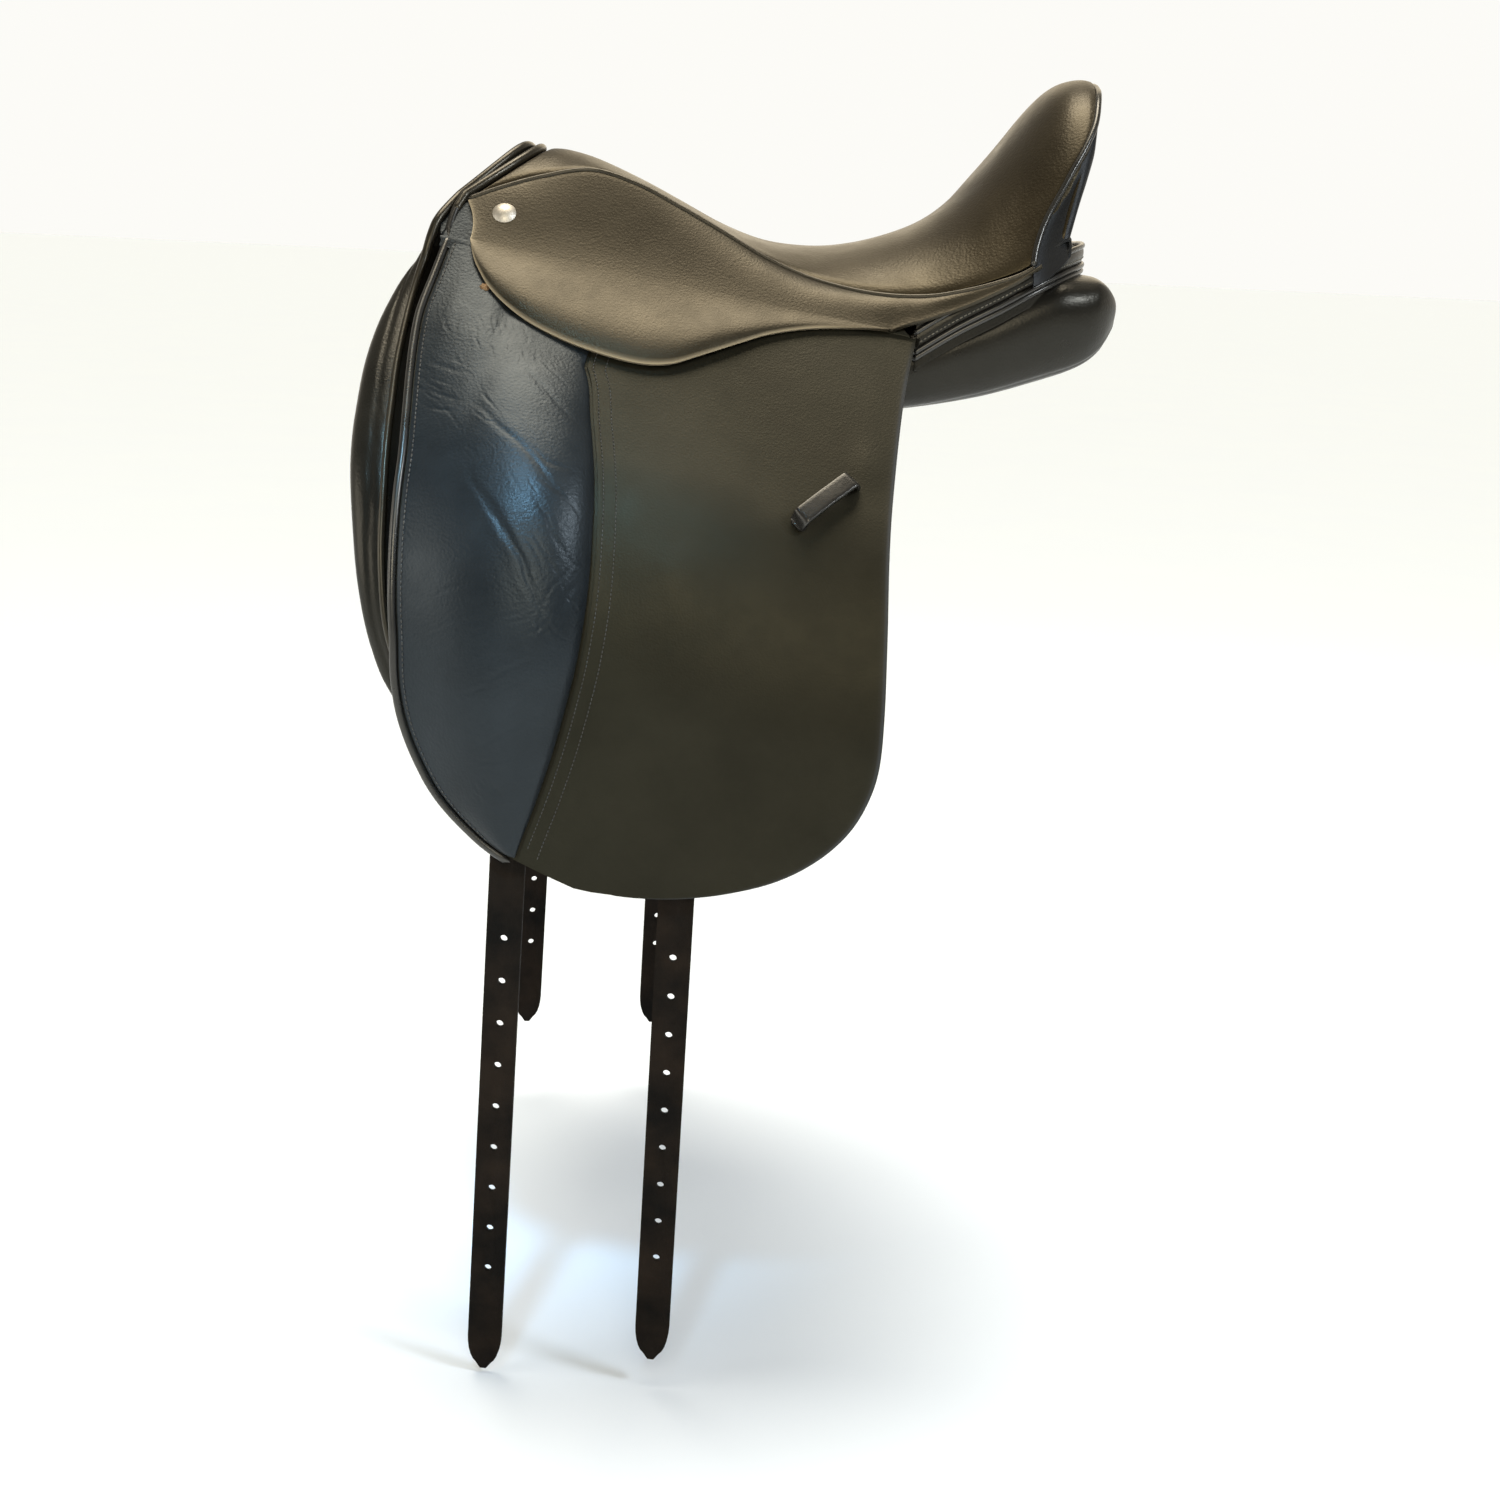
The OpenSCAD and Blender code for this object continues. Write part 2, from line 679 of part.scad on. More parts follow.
// Domed stud on the skirt
module right_stud() {
    u = 0.96;
    w = 0.41;
    out = face(function(u, w) band(u, w), u, w);
    x = unit(cross([0, 0, 1], out));
    y = cross(out, x);
    o = raised(function(u, w) band(u, w), u, w, 0.5);
    ball = (stud_r * stud_r + stud_h * stud_h) / (2 * stud_h);
    color(steel) multmatrix([
        [x.x, y.x, out.x, o.x],
        [x.y, y.y, out.y, o.y],
        [x.z, y.z, out.z, o.z]
    ]) intersection() {
        translate([0, 0, stud_h - ball]) sphere(r = ball);
        cylinder(r = stud_r, h = stud_h + 1);
    }
}

// Strip of the flap above its crease, which stays on the tree
module right_flap_root() {
    color(leather) flat_ply([
        [flap_front[0][1], -crease_play],
        [flap_front[0][1] + 3, -flap_root_h],
        [flap_rear[0][1] - 14, -flap_root_h],
        [flap_rear[0][1] - 4, -crease_play]
    ], flap_in, flap_out);
}

// Flap, open at the top for the stirrup bar
module right_flap() {
    depth = flap_t + 20;
    color(leather) difference() {
        ply(closing(crease_play, flap_len - 58, flap_len, 26, 9),
            function(t) along(flap_front, t), function(t) along(flap_rear, t), 1,
            function(x, t) flap_out, function(x, t) flap_in);
        on_side(notch[0], notch[2]) translate([0, 0, flap_in - 10])
            cube([notch[2] + 20, notch[1] - notch[0], depth]);
    }
}

module right_piping() {
    mid = (flap_in + flap_out) / 2;
    out = piping_r + soft_play;
    color(dark_leather) cord([
        for (t = closing(2, flap_len - 88, flap_len - 16, 18, 8))
        let (k = unit([1, along(flap_front, t + 1) - along(flap_front, t)]) * out)
        side(along(flap_front, t) - k[0], t + k[1], mid)
    ], piping_r, e2, 6);
}

// Knee block: crown, drawn-in edges and a fuller middle
function block_crown(x, t) = let (
    across = pow(max(0, 4 * x * (1 - x)), 0.55),
    down = pow(max(0, sin(180 * (t - block_top + 6) / (block_reach - block_top + 12))), 0.75)
) block_edge_h + block_h * across * down;

module right_block_cover() {
    color(leather) ply(closing(block_top, block_reach - 68, block_reach, 20, 7),
        function(t) along(block_front, t), function(t) along(block_rear, t), 10,
        function(x, t) flap_out + 0.3 + block_crown(x, t),
        function(x, t) flap_out + 0.3 + max(0, block_crown(x, t) - block_cover_t - 0.3 * block_edge_h));
}

module right_block_foam() {
    color(foam) ply(span(block_top + 50, block_reach - 42, 12),
        function(t) lerp(along(block_front, t), along(block_rear, t), 0.12),
        function(t) lerp(along(block_front, t), along(block_rear, t), 0.88), 6,
        function(x, t)
            flap_out + block_crown(0.12 + 0.76 * x, t) - block_cover_t - 0.3 * block_edge_h - soft_play,
        function(x, t) flap_out + soft_play);
}

// Keeper: a flat leather loop for the end of the stirrup leather
module right_keeper() {
    foot = 7;
    ramp = 6;
    half = keeper_len / 2;
    inside = half - foot - ramp;
    color(leather) on_side(keeper_at.x, keeper_at.y) rotate([0, 0, keeper_turn])
        translate([0, keeper_w / 2, flap_out - 0.1]) rotate([90, 0, 0]) linear_extrude(keeper_w)
        polygon([
            [-half, 0], [-half + foot, 0], [-inside, keeper_room], [inside, keeper_room],
            [half - foot, 0], [half, 0], [half, keeper_t], [half - foot + 1, keeper_t],
            [inside + 1, keeper_room + keeper_t], [-inside - 1, keeper_room + keeper_t],
            [-half + foot - 1, keeper_t], [-half, keeper_t]
        ]);
}

module right_sweat_flap() {
    color(leather) ply(closing(sweat_top, sweat_reach - 48, sweat_reach, 22, 6),
        function(t) along(sweat_front, t), function(t) along(sweat_rear, t), 1,
        function(x, t) sweat_out, function(x, t) sweat_in);
}

// Pocket on the panel that takes the end of the tree point
module right_point_pocket() {
    low = point_reach + 8;
    color(leather) flat_ply([
        [20, 62], [68, 62], [68, low - 16], [56, low], [32, low], [20, low - 16]
    ], point_out + 0.3, point_out + 2.3);
}

// Panel: a flocked leather cushion beside the channel
module right_panel() {
    sides = 18;
    color(leather) loft([
        for (u = span(0, len(panel_rows) - 1, 30))
        let (
            k = through(panel_rows, u),
            c = cos(k[5]),
            s = sin(k[5]),
            y = max(k[1], channel_half + k[3] * c)
        )
        [
            for (j = [0:sides - 1])
            let (
                p = k[3] * swell(cos(360 * (j + 0.5) / sides), panel_square),
                q = k[4] * swell(sin(360 * (j + 0.5) / sides), panel_square)
            )
            [k[0] * stretch, y + p * c + q * s, k[2] - p * s + q * c]
        ]
    ]);
}

// Front roll of the panel, which runs down ahead of the flap
module right_front_roll() {
    sides = 14;
    color(leather) loft([
        for (t = concat([roll_top], span(roll_top + 8, roll_reach - 10, 24), [roll_reach]))
        let (
            a = along(roll_front, t),
            b = along(roll_rear, t),
            full = pow(max(0.02, sin(180 * (t - roll_top + 3) / (roll_reach - roll_top + 6))), 0.4),
            depth = roll_depth / 2 * full,
            mid = sweat_in + ply_play / 2 - roll_depth / 2
        )
        [
            for (j = [0:sides - 1])
            side(
                lerp(a, b, 0.5 + 0.5 * swell(cos(360 * (j + 0.5) / sides), 0.7)), t,
                mid + depth * swell(sin(360 * (j + 0.5) / sides), 0.8)
            )
        ]
    ]);
}

// Girth web from the tree down to a billet
module web(top_s, low_s) {
    top_t = -40;
    low = function(t) lerp(top_s, low_s, (t - top_t) / (web_end_t - top_t));
    drop = function(t) t > 14 ? 0 : 13 * pow((14 - t) / (14 - top_t), 1.3);
    color(webbing) ply(concat(span(top_t, 14, 6), span(30, web_end_t, 20)),
        function(t) low(t) - web_w / 2, function(t) low(t) + web_w / 2, 1,
        function(x, t) web_out - drop(t), function(x, t) web_out - web_t - drop(t));
}

module right_front_web() {
    behind_catch = bar_at.x + bar_len / 2 + catch_len + 16;
    web(behind_catch + web_w / 2, front_pivot_s);
}

module right_rear_web() {
    web(292 * stretch, rear_pivot_s);
}

// Billet: a strap with a pointed end and a row of holes
module billet(s, tilt, len, pitch) {
    half = billet_w / 2;
    head = 22;
    color(brown_leather) on_side(s, pivot_t) rotate([0, 0, tilt]) translate([0, 0, billet_in]) difference() {
        linear_extrude(billet_t) polygon(concat(
            [[head, half - 4], [head - 4, half], [-len + 26, half]],
            [for (a = [15:15:75]) [-len + 26 - 22 * sin(a), half * (0.28 + 0.72 * cos(a))]],
            [[-len, half * 0.18], [-len, -half * 0.18]],
            [for (a = [75:-15:15]) [-len + 26 - 22 * sin(a), -half * (0.28 + 0.72 * cos(a))]],
            [[-len + 26, -half], [head - 4, -half], [head, -half + 4]]
        ));
        for (i = [0:hole_count - 1])
            translate([-len + tip_to_hole + i * pitch, 0, -1]) cylinder(r = hole_r, h = billet_t + 2);
    }
}

// Near side pieces are the off side's in mirror image
module left_tree_point() { left() right_tree_point(); }
module left_stirrup_bar() { left() right_stirrup_bar(); }
module left_bar_catch() { left() right_bar_catch(); }
module left_seat_welt() { left() right_seat_welt(); }
module left_skirt_band() { left() right_skirt_band(); }
module left_skirt() { left() right_skirt(); }
module left_stud() { left() right_stud(); }
module left_flap_root() { left() right_flap_root(); }
module left_flap() { left() right_flap(); }
module left_piping() { left() right_piping(); }
module left_block_cover() { left() right_block_cover(); }
module left_block_foam() { left() right_block_foam(); }
module left_keeper() { left() right_keeper(); }
module left_sweat_flap() { left() right_sweat_flap(); }
module left_point_pocket() { left() right_point_pocket(); }
module left_panel() { left() right_panel(); }
module left_front_roll() { left() right_front_roll(); }
module left_front_web() { left() right_front_web(); }
module left_rear_web() { left() right_rear_web(); }
module left_front_billet() { left() billet(front_pivot_s, front_lean, near_front_len, front_pitch); }
module left_rear_billet() { left() billet(rear_pivot_s, rear_lean, near_rear_len, rear_pitch); }
module right_front_billet() { billet(front_pivot_s, front_lean, off_front_len, front_pitch); }
module right_rear_billet() { billet(rear_pivot_s, rear_lean, off_rear_len, rear_pitch); }

tree();
gullet_plate();
left_tree_point();
right_tree_point();
bar_rivets();
left_stirrup_bar();
right_stirrup_bar();
left_bar_catch();
right_bar_catch();
catch_pins();
seat_web_long();
seat_web_cross();
gullet_lining();
seat_foam();
seat_cover();
left_seat_welt();
right_seat_welt();
cantle_back();
cantle_welt();
pommel_welts();
pommel_facing();
rear_facing();
left_skirt_band();
right_skirt_band();
left_skirt();
right_skirt();
left_stud();
right_stud();
left_flap_root();
right_flap_root();
left_flap();
right_flap();
left_piping();
right_piping();
left_block_cover();
right_block_cover();
left_block_foam();
right_block_foam();
left_keeper();
right_keeper();
left_sweat_flap();
right_sweat_flap();
left_point_pocket();
right_point_pocket();
left_panel();
right_panel();
left_front_roll();
right_front_roll();
left_front_web();
right_front_web();
left_rear_web();
right_rear_web();
left_front_billet();
right_front_billet();
left_rear_billet();
right_rear_billet();
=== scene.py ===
import math
import bmesh
import bpy
import numpy as np
from mathutils import Matrix, Vector


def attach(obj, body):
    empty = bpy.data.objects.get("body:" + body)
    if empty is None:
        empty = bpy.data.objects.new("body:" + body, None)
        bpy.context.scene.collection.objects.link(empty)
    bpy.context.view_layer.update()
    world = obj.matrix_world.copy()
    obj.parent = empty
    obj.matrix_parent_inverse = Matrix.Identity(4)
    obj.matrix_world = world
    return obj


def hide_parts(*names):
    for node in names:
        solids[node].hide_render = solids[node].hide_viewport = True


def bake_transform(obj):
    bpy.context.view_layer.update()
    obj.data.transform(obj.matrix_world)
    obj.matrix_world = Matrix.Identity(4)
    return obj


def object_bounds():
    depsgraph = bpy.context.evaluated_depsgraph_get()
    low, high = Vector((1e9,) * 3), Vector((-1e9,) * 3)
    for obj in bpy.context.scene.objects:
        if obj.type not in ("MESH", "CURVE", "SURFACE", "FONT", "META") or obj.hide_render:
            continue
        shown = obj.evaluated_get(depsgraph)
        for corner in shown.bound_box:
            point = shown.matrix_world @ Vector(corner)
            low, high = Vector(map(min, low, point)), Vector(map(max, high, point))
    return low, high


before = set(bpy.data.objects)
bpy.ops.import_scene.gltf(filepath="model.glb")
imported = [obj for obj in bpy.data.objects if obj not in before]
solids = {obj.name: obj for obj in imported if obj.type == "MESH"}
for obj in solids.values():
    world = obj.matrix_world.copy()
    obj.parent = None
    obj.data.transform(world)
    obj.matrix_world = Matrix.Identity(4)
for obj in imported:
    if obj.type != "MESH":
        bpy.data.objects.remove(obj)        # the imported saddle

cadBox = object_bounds()
scene = bpy.context.scene
weldGap = {"seam": 0.000002, "solid": 0.000005}        # metres
clothRun = {"frames": 20, "quality": 5, "evening": 30, "kept": 0.4}
print("loaded", len(solids), "solids")


# tools for selecting, placing and finishing a piece

def deselect():
    bpy.ops.object.select_all(action="DESELECT")


def pick(piece):
    deselect()
    piece.select_set(True)
    bpy.context.view_layer.objects.active = piece


def getPoints(piece):
    flat = np.zeros(len(piece.data.vertices) * 3)
    piece.data.vertices.foreach_get("co", flat)
    return flat.reshape(-1, 3) * 1000


def setPoints(piece, points):
    piece.data.vertices.foreach_set("co", (np.asarray(points) / 1000).ravel())
    piece.data.update()


def getNormals(piece):
    flat = np.zeros(len(piece.data.vertices) * 3)
    piece.data.vertices.foreach_get("normal", flat)
    return flat.reshape(-1, 3)


def setMark(piece, name, values):        # one number for each point
    mark = piece.data.attributes.get(name) or piece.data.attributes.new(name, "FLOAT", "POINT")
    mark.data.foreach_set("value", np.asarray(values, float).ravel())


def getMark(piece, name):
    values = np.zeros(len(piece.data.vertices))
    piece.data.attributes[name].data.foreach_get("value", values)
    return values


def gridPiece(name, points, chart=None, towards=None):        # rows by columns of points, in millimetres
    rows, columns = points.shape[:2]
    deselect()
    bpy.ops.mesh.primitive_grid_add(x_subdivisions=columns - 1, y_subdivisions=rows - 1, size=1)
    piece = bpy.context.object
    piece.name = piece.data.name = name
    setPoints(piece, points.reshape(-1, 3))
    if chart is not None:
        setMark(piece, "alongSide", chart[..., 0])
        setMark(piece, "downSide", chart[..., 1])
    if towards is not None:
        sizes = np.zeros(len(piece.data.polygons))
        turns = np.zeros(len(piece.data.polygons) * 3)
        piece.data.polygons.foreach_get("area", sizes)
        piece.data.polygons.foreach_get("normal", turns)
        if (turns.reshape(-1, 3) * sizes[:, None]).sum(0) @ np.array(towards, float) < 0:
            piece.data.flip_normals()
    piece.data.update()
    return piece


def closedPiece(name, rings, chart=None):        # rings of points, closed round and at both ends
    wrap = np.concatenate([rings, rings[:, :1]], 1)
    if chart is not None:
        chart = np.concatenate([chart, chart[:, :1]], 1)
    return gridPiece(name, wrap, chart)


def editAll(piece):        # edit mode, with everything selected
    pick(piece)
    bpy.ops.object.mode_set(mode="EDIT")
    bpy.ops.mesh.select_all(action="SELECT")


def editDone():
    bpy.ops.object.mode_set(mode="OBJECT")


def sealPiece(piece):        # welds the seam of a closed piece and caps its ends
    editAll(piece)
    bpy.ops.mesh.remove_doubles(threshold=weldGap["seam"])
    bpy.ops.mesh.fill_holes(sides=0)
    bpy.ops.mesh.select_all(action="SELECT")
    bpy.ops.mesh.normals_make_consistent(inside=False)
    editDone()


def thicken(piece, thick):        # wall laid on the inner side of a sheet
    pick(piece)
    bpy.ops.object.modifier_add(type="SOLIDIFY")
    wall = piece.modifiers[-1]
    wall.thickness = thick / 1000
    wall.offset = -1
    wall.use_even_offset = False
    bpy.ops.object.modifier_apply(modifier=wall.name)


def refine(piece, levels):
    pick(piece)
    bpy.ops.object.modifier_add(type="SUBSURF")
    finer = piece.modifiers[-1]
    finer.levels = levels
    finer.render_levels = levels
    bpy.ops.object.modifier_apply(modifier=finer.name)


def roundEdges(piece, width, segments=2, angle=35, skip=None):
    pick(piece)
    bpy.ops.object.mode_set(mode="EDIT")
    bpy.ops.mesh.select_mode(type="EDGE")
    bpy.ops.mesh.select_all(action="DESELECT")
    bpy.ops.mesh.edges_select_sharp(sharpness=math.radians(angle))
    if skip:
        shape = bmesh.from_edit_mesh(piece.data)
        for edge in shape.edges:
            if edge.select and skip(np.array((edge.verts[0].co + edge.verts[1].co) * 500)):
                edge.select_set(False)
        bmesh.update_edit_mesh(piece.data)
    bpy.ops.mesh.bevel(offset=width / 1000, segments=segments, affect="EDGES", clamp_overlap=True)
    editDone()


def smoothShade(piece, angle=40):
    pick(piece)
    bpy.ops.object.shade_smooth_by_angle(angle=math.radians(angle))


def cutLeather(piece, thick, edge=0, segments=2, skip=None, shade=50):        # a sheet made into leather
    thicken(piece, thick)
    if edge:
        roundEdges(piece, edge, segments, 40, skip)
    smoothShade(piece, shade)
    return piece


def cutFaces(piece, inside):        # removes the faces whose middle lies inside
    pick(piece)
    middles = np.zeros(len(piece.data.polygons) * 3)
    piece.data.polygons.foreach_get("center", middles)
    chosen = inside(middles.reshape(-1, 3) * 1000)
    bpy.ops.object.mode_set(mode="EDIT")
    bpy.ops.mesh.select_mode(type="FACE")
    bpy.ops.mesh.select_all(action="DESELECT")
    editDone()
    piece.data.polygons.foreach_set("select", chosen)
    bpy.ops.object.mode_set(mode="EDIT")
    bpy.ops.mesh.delete(type="FACE")
    editDone()


def otherSide(piece):        # copy for the off side, with its own mesh
    pick(piece)
    bpy.ops.object.duplicate(linked=False)
    twin = bpy.context.object
    twin.name = twin.data.name = piece.name.replace("left", "right")
    points = getPoints(twin)
    points[:, 1] *= -1
    setPoints(twin, points)
    twin.data.flip_normals()
    return twin


def copySolid(node, name, width, angle=35):        # leather or web cut as its solid, with rounded edges
    deselect()
    piece = solids[node].copy()
    piece.data = solids[node].data.copy()
    piece.parent = None
    scene.collection.objects.link(piece)
    piece.name = piece.data.name = name
    piece.data.materials.clear()
    editAll(piece)
    bpy.ops.mesh.remove_doubles(threshold=weldGap["solid"])
    bpy.ops.mesh.dissolve_limited(angle_limit=math.radians(0.4))
    editDone()
    roundEdges(piece, width, 2, angle)
    smoothShade(piece)
    return piece


def settle(piece, body, look, slot, *stands):        # body, finish and the solids that it stands for
    if body:
        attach(piece, body)
    if stands:
        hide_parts(*stands)
    piece.data.materials.clear()
    piece.data.materials.append(look)
    return piece


def bothSides(piece, body, look, slot, *stands):        # a left piece and its twin
    twin = otherSide(piece)
    for one, side in ((piece, "left"), (twin, "right")):
        nodes = [node.replace("left", side) for node in stands]
        settle(one, body and body.replace("left", side), look, slot, *nodes)
    return piece, twin


def swell(piece, held, pressure, cap):        # cloth under pressure, with its movement capped in millimetres
    before, outward = getPoints(piece), getNormals(piece)
    group = piece.vertex_groups.new(name="held")
    group.add([int(i) for i in np.nonzero(held)[0]], 1, "REPLACE")
    pick(piece)
    bpy.ops.object.modifier_add(type="CLOTH")
    cloth = piece.modifiers[-1]
    cloth.settings.quality = clothRun["quality"]
    cloth.settings.vertex_group_mass = "held"
    cloth.settings.use_pressure = True
    cloth.settings.uniform_pressure_force = pressure
    cloth.settings.effector_weights.gravity = 0
    cloth.collision_settings.use_collision = False
    cloth.point_cache.frame_start = 1
    cloth.point_cache.frame_end = clothRun["frames"]
    for step in range(1, clothRun["frames"] + 1):
        scene.frame_set(step)
    bpy.ops.object.modifier_apply(modifier=cloth.name)
    scene.frame_set(1)
    piece.vertex_groups.clear()
    lift = np.clip(((getPoints(piece) - before) * outward).sum(1), -cap, cap)
    ends = np.zeros(len(piece.data.edges) * 2, dtype=int)
    piece.data.edges.foreach_get("vertices", ends)
    a, b = ends[0::2], ends[1::2]
    count = np.bincount(ends, minlength=len(lift))
    for turn in range(clothRun["evening"]):        # folds of the cloth evened out
        near = (np.bincount(a, lift[b], len(lift)) + np.bincount(b, lift[a], len(lift))) / np.maximum(count, 1)
        lift = np.where(held, 0, near + (lift - near) * clothRun["kept"])
    setPoints(piece, before + outward * lift[:, None])
    print("swelled", piece.name, "most", round(float(lift.max()), 2), "mm, mean", round(float(lift.mean()), 2))


def unit(v):
    return v / np.maximum(np.linalg.norm(v, axis=-1, keepdims=True), 1e-9)


def smooth(x):        # eased from 0 to 1
    x = np.clip(x, 0, 1)
    return x * x * (3 - 2 * x)


def runLength(path):        # distance along a path at each of its points
    return np.concatenate([[0], np.cumsum(np.linalg.norm(np.diff(path, axis=0), axis=1))])


def roundEnd(near, radius, least=0.02):        # share of the full width, near a rounded end
    return np.sqrt(np.clip(1 - (1 - np.clip(near / radius, 0, 1)) ** 2, least, 1))


def resample(path, gap):        # points at equal gaps along a path
    path = np.asarray(path, float)
    run = runLength(path)
    count = max(2, int(round(run[-1] / gap)) + 1)
    at = np.linspace(0, run[-1], count)
    return np.stack([np.interp(at, run, path[:, k]) for k in range(path.shape[1])], 1)


def sweepPiece(name, path, section, up):        # a section carried along a path, closed at both ends
    path = np.asarray(path, float)
    ahead = unit(np.gradient(path, axis=0))
    up = np.broadcast_to(np.asarray(up, float), path.shape)
    sideways = unit(np.cross(ahead, up))
    upright = np.cross(sideways, ahead)
    section = np.asarray(section, float)
    if section.ndim == 2:
        section = np.broadcast_to(section, (len(path),) + section.shape)
    rings = path[:, None] + section[..., :1] * sideways[:, None] + section[..., 1:] * upright[:, None]
    piece = closedPiece(name, rings)
    sealPiece(piece)
    smoothShade(piece, 50)
    return piece


def roundSection(radius, sides=14):
    turn = np.arange(sides) * 2 * math.pi / sides
    return np.stack([np.cos(turn), np.sin(turn)], 1) * radius


def beadPiece(name, path, radius, up=(0, 0, 1), sides=14):        # sewn piping with rounded ends
    run = runLength(path)
    taper = roundEnd(np.minimum(run, run[-1] - run), radius)
    return sweepPiece(name, path, roundSection(radius, sides)[None] * taper[:, None, None], up)


def stitchRow(name, path, outward, stitch):        # a row of thread, modelled once and laid along a path
    points = resample(np.concatenate([path, outward], 1), stitch["gap"])
    path, outward = points[:, :3], unit(points[:, 3:])
    deselect()
    bpy.ops.mesh.primitive_uv_sphere_add(segments=8, ring_count=6, radius=1)
    thread = bpy.context.object
    editAll(thread)
    bpy.ops.transform.resize(value=(stitch["long"] / 2000, stitch["wide"] / 2000, stitch["wide"] / 2000))
    editDone()
    one = getPoints(thread)
    faces = [list(p.vertices) for p in thread.data.polygons]
    bpy.data.objects.remove(thread)
    ahead = unit(path[1:] - path[:-1])
    middle = (path[1:] + path[:-1]) / 2
    out = unit(outward[1:] + outward[:-1])
    across = unit(np.cross(out, ahead))
    out = np.cross(ahead, across)
    axes = np.stack([ahead, across, out], 1)        # one set of axes for each stitch
    laid = (middle + out * stitch["raise"])[:, None] + one[None] @ axes
    mesh = bpy.data.meshes.new(name)
    every = [[corner + k * len(one) for corner in face] for k in range(len(laid)) for face in faces]
    mesh.from_pydata((laid.reshape(-1, 3) / 1000).tolist(), [], every)
    row = bpy.data.objects.new(name, mesh)
    scene.collection.objects.link(row)
    smoothShade(row, 80)
    return row


# curves of the saddle, in millimetres, off side; the near side is its mirror image

seatRows = [        # middle x and z, then edge x, y and z, from pommel to cantle
    [-193, 171, -245, 70, 133], [-187, 171.5, -222, 65, 142], [-175, 170.5, -193, 59, 151],
    [-155, 165, -159, 57, 157], [-125, 152, -127, 64, 149], [-95, 137, -97, 72, 135],
    [-64, 122, -66, 80, 119], [-34, 113, -36, 89, 103], [-4, 110, -6, 97, 91],
    [26, 112, 24, 106, 84], [56, 119, 52, 114, 81], [85, 131, 80, 121, 82],
    [107, 147, 104, 126, 87], [124, 167, 124, 129, 93], [142, 189, 142, 130, 100],
    [162, 213, 158, 129, 111], [182, 231, 170, 127, 125], [203, 237, 178, 125, 141],
]
lastRow = len(seatRows) - 1
sideChart = {"front": (-243, 94, 106), "rear": (70, 136, 55), "lean": 42, "straight": 150, "radius": 240}
creaseFront = np.array(sideChart["front"], float)
alongCrease = unit(np.array(sideChart["rear"], float) - creaseFront)
outCrease = unit(np.array([-alongCrease[1], alongCrease[0], 0]))
upCrease = np.cross(alongCrease, outCrease)
leanAngle = math.radians(sideChart["lean"])
bendLength = sideChart["radius"] * leanAngle
creaseDown = math.sin(leanAngle) * outCrease - math.cos(leanAngle) * upCrease
mirror = np.array([1, -1, 1.0])        # to the near side


def sidePoint(s, t, n):        # s along the crease, t below it, n outwards
    s, t, n = np.broadcast_arrays(np.asarray(s, float), np.asarray(t, float), np.asarray(n, float))
    a = leanAngle * (1 - np.clip((t - sideChart["straight"]) / bendLength, 0, 1))
    flat = np.minimum(t, sideChart["straight"])
    drop = np.maximum(0, t - sideChart["straight"] - bendLength)
    y = flat * math.sin(leanAngle) + sideChart["radius"] * (np.cos(a) - math.cos(leanAngle)) + n * np.cos(a)
    z = -flat * math.cos(leanAngle) - sideChart["radius"] * (math.sin(leanAngle) - np.sin(a)) - drop + n * np.sin(a)
    return creaseFront + s[..., None] * alongCrease + y[..., None] * outCrease + z[..., None] * upCrease


def sideOut(t):        # outward direction on the side
    a = leanAngle * (1 - np.clip((np.asarray(t, float) - sideChart["straight"]) / bendLength, 0, 1))
    return np.cos(a)[..., None] * outCrease + np.sin(a)[..., None] * upCrease


def smoothRow(keys, u):        # smooth curve through keys, u counted in keys
    keys, u = np.asarray(keys, float), np.asarray(u, float)
    last = len(keys) - 1
    i = np.clip(np.floor(u).astype(int), 0, last - 1)
    x = (u - i)[..., None]
    a, b, c, d = keys[np.maximum(i - 1, 0)], keys[i], keys[i + 1], keys[np.minimum(i + 2, last)]
    return b + x * ((c - a) / 2 + x * (a - 2.5 * b + 2 * c - d / 2 + x * (1.5 * (b - c) + (d - a) / 2)))


def edgeAt(keys, x):        # smooth value at x through pairs of place and value
    keys, x = np.asarray(keys, float), np.asarray(x, float)
    k, v, last = keys[:, 0], keys[:, 1], len(keys) - 1
    i = np.clip(np.searchsorted(k, x, side="right") - 1, 0, last - 1)
    every = np.arange(last + 1)
    before, after = np.maximum(every - 1, 0), np.minimum(every + 1, last)
    slope = (v[after] - v[before]) / (k[after] - k[before])
    h, rise = k[i + 1] - k[i], v[i + 1] - v[i]
    p, m, n = (x - k[i]) / h, slope[i] * h, slope[i + 1] * h
    return v[i] + p * (m + p * (3 * rise - 2 * m - n + p * (m + n - 2 * rise)))


def seatPoint(u, v):        # u in rows from the pommel, v from -1 to 1 across
    u, v = np.broadcast_arrays(np.asarray(u, float), np.asarray(v, float))
    k = smoothRow(seatRows, u)
    p = np.abs(v) ** 2.5
    x = k[..., 0] + (k[..., 2] - k[..., 0]) * p
    z = k[..., 1] + (k[..., 4] - k[..., 1]) * p
    return np.stack([x, k[..., 3] * v, z], -1)


def faceOut(f, u, v, e=0.01):        # outward direction of a curved face
    return unit(np.cross(f(u + e, v) - f(u - e, v), f(u, v + e) - f(u, v - e)))


def creaseAt(u):        # place on the crease below a row of the seat
    return 2 + (seatPoint(u, 1)[..., 0] - seatPoint(0, 1)[0]) / alongCrease[0] * 0.967


tailStart = 10.3        # row of the seat where the skirt leaves the crease
skirtTail = [[66, 134, 63], [76, 134, 66], [100, 134, 75], [121, 134, 85], [141, 133, 96], [158, 131, 109]]


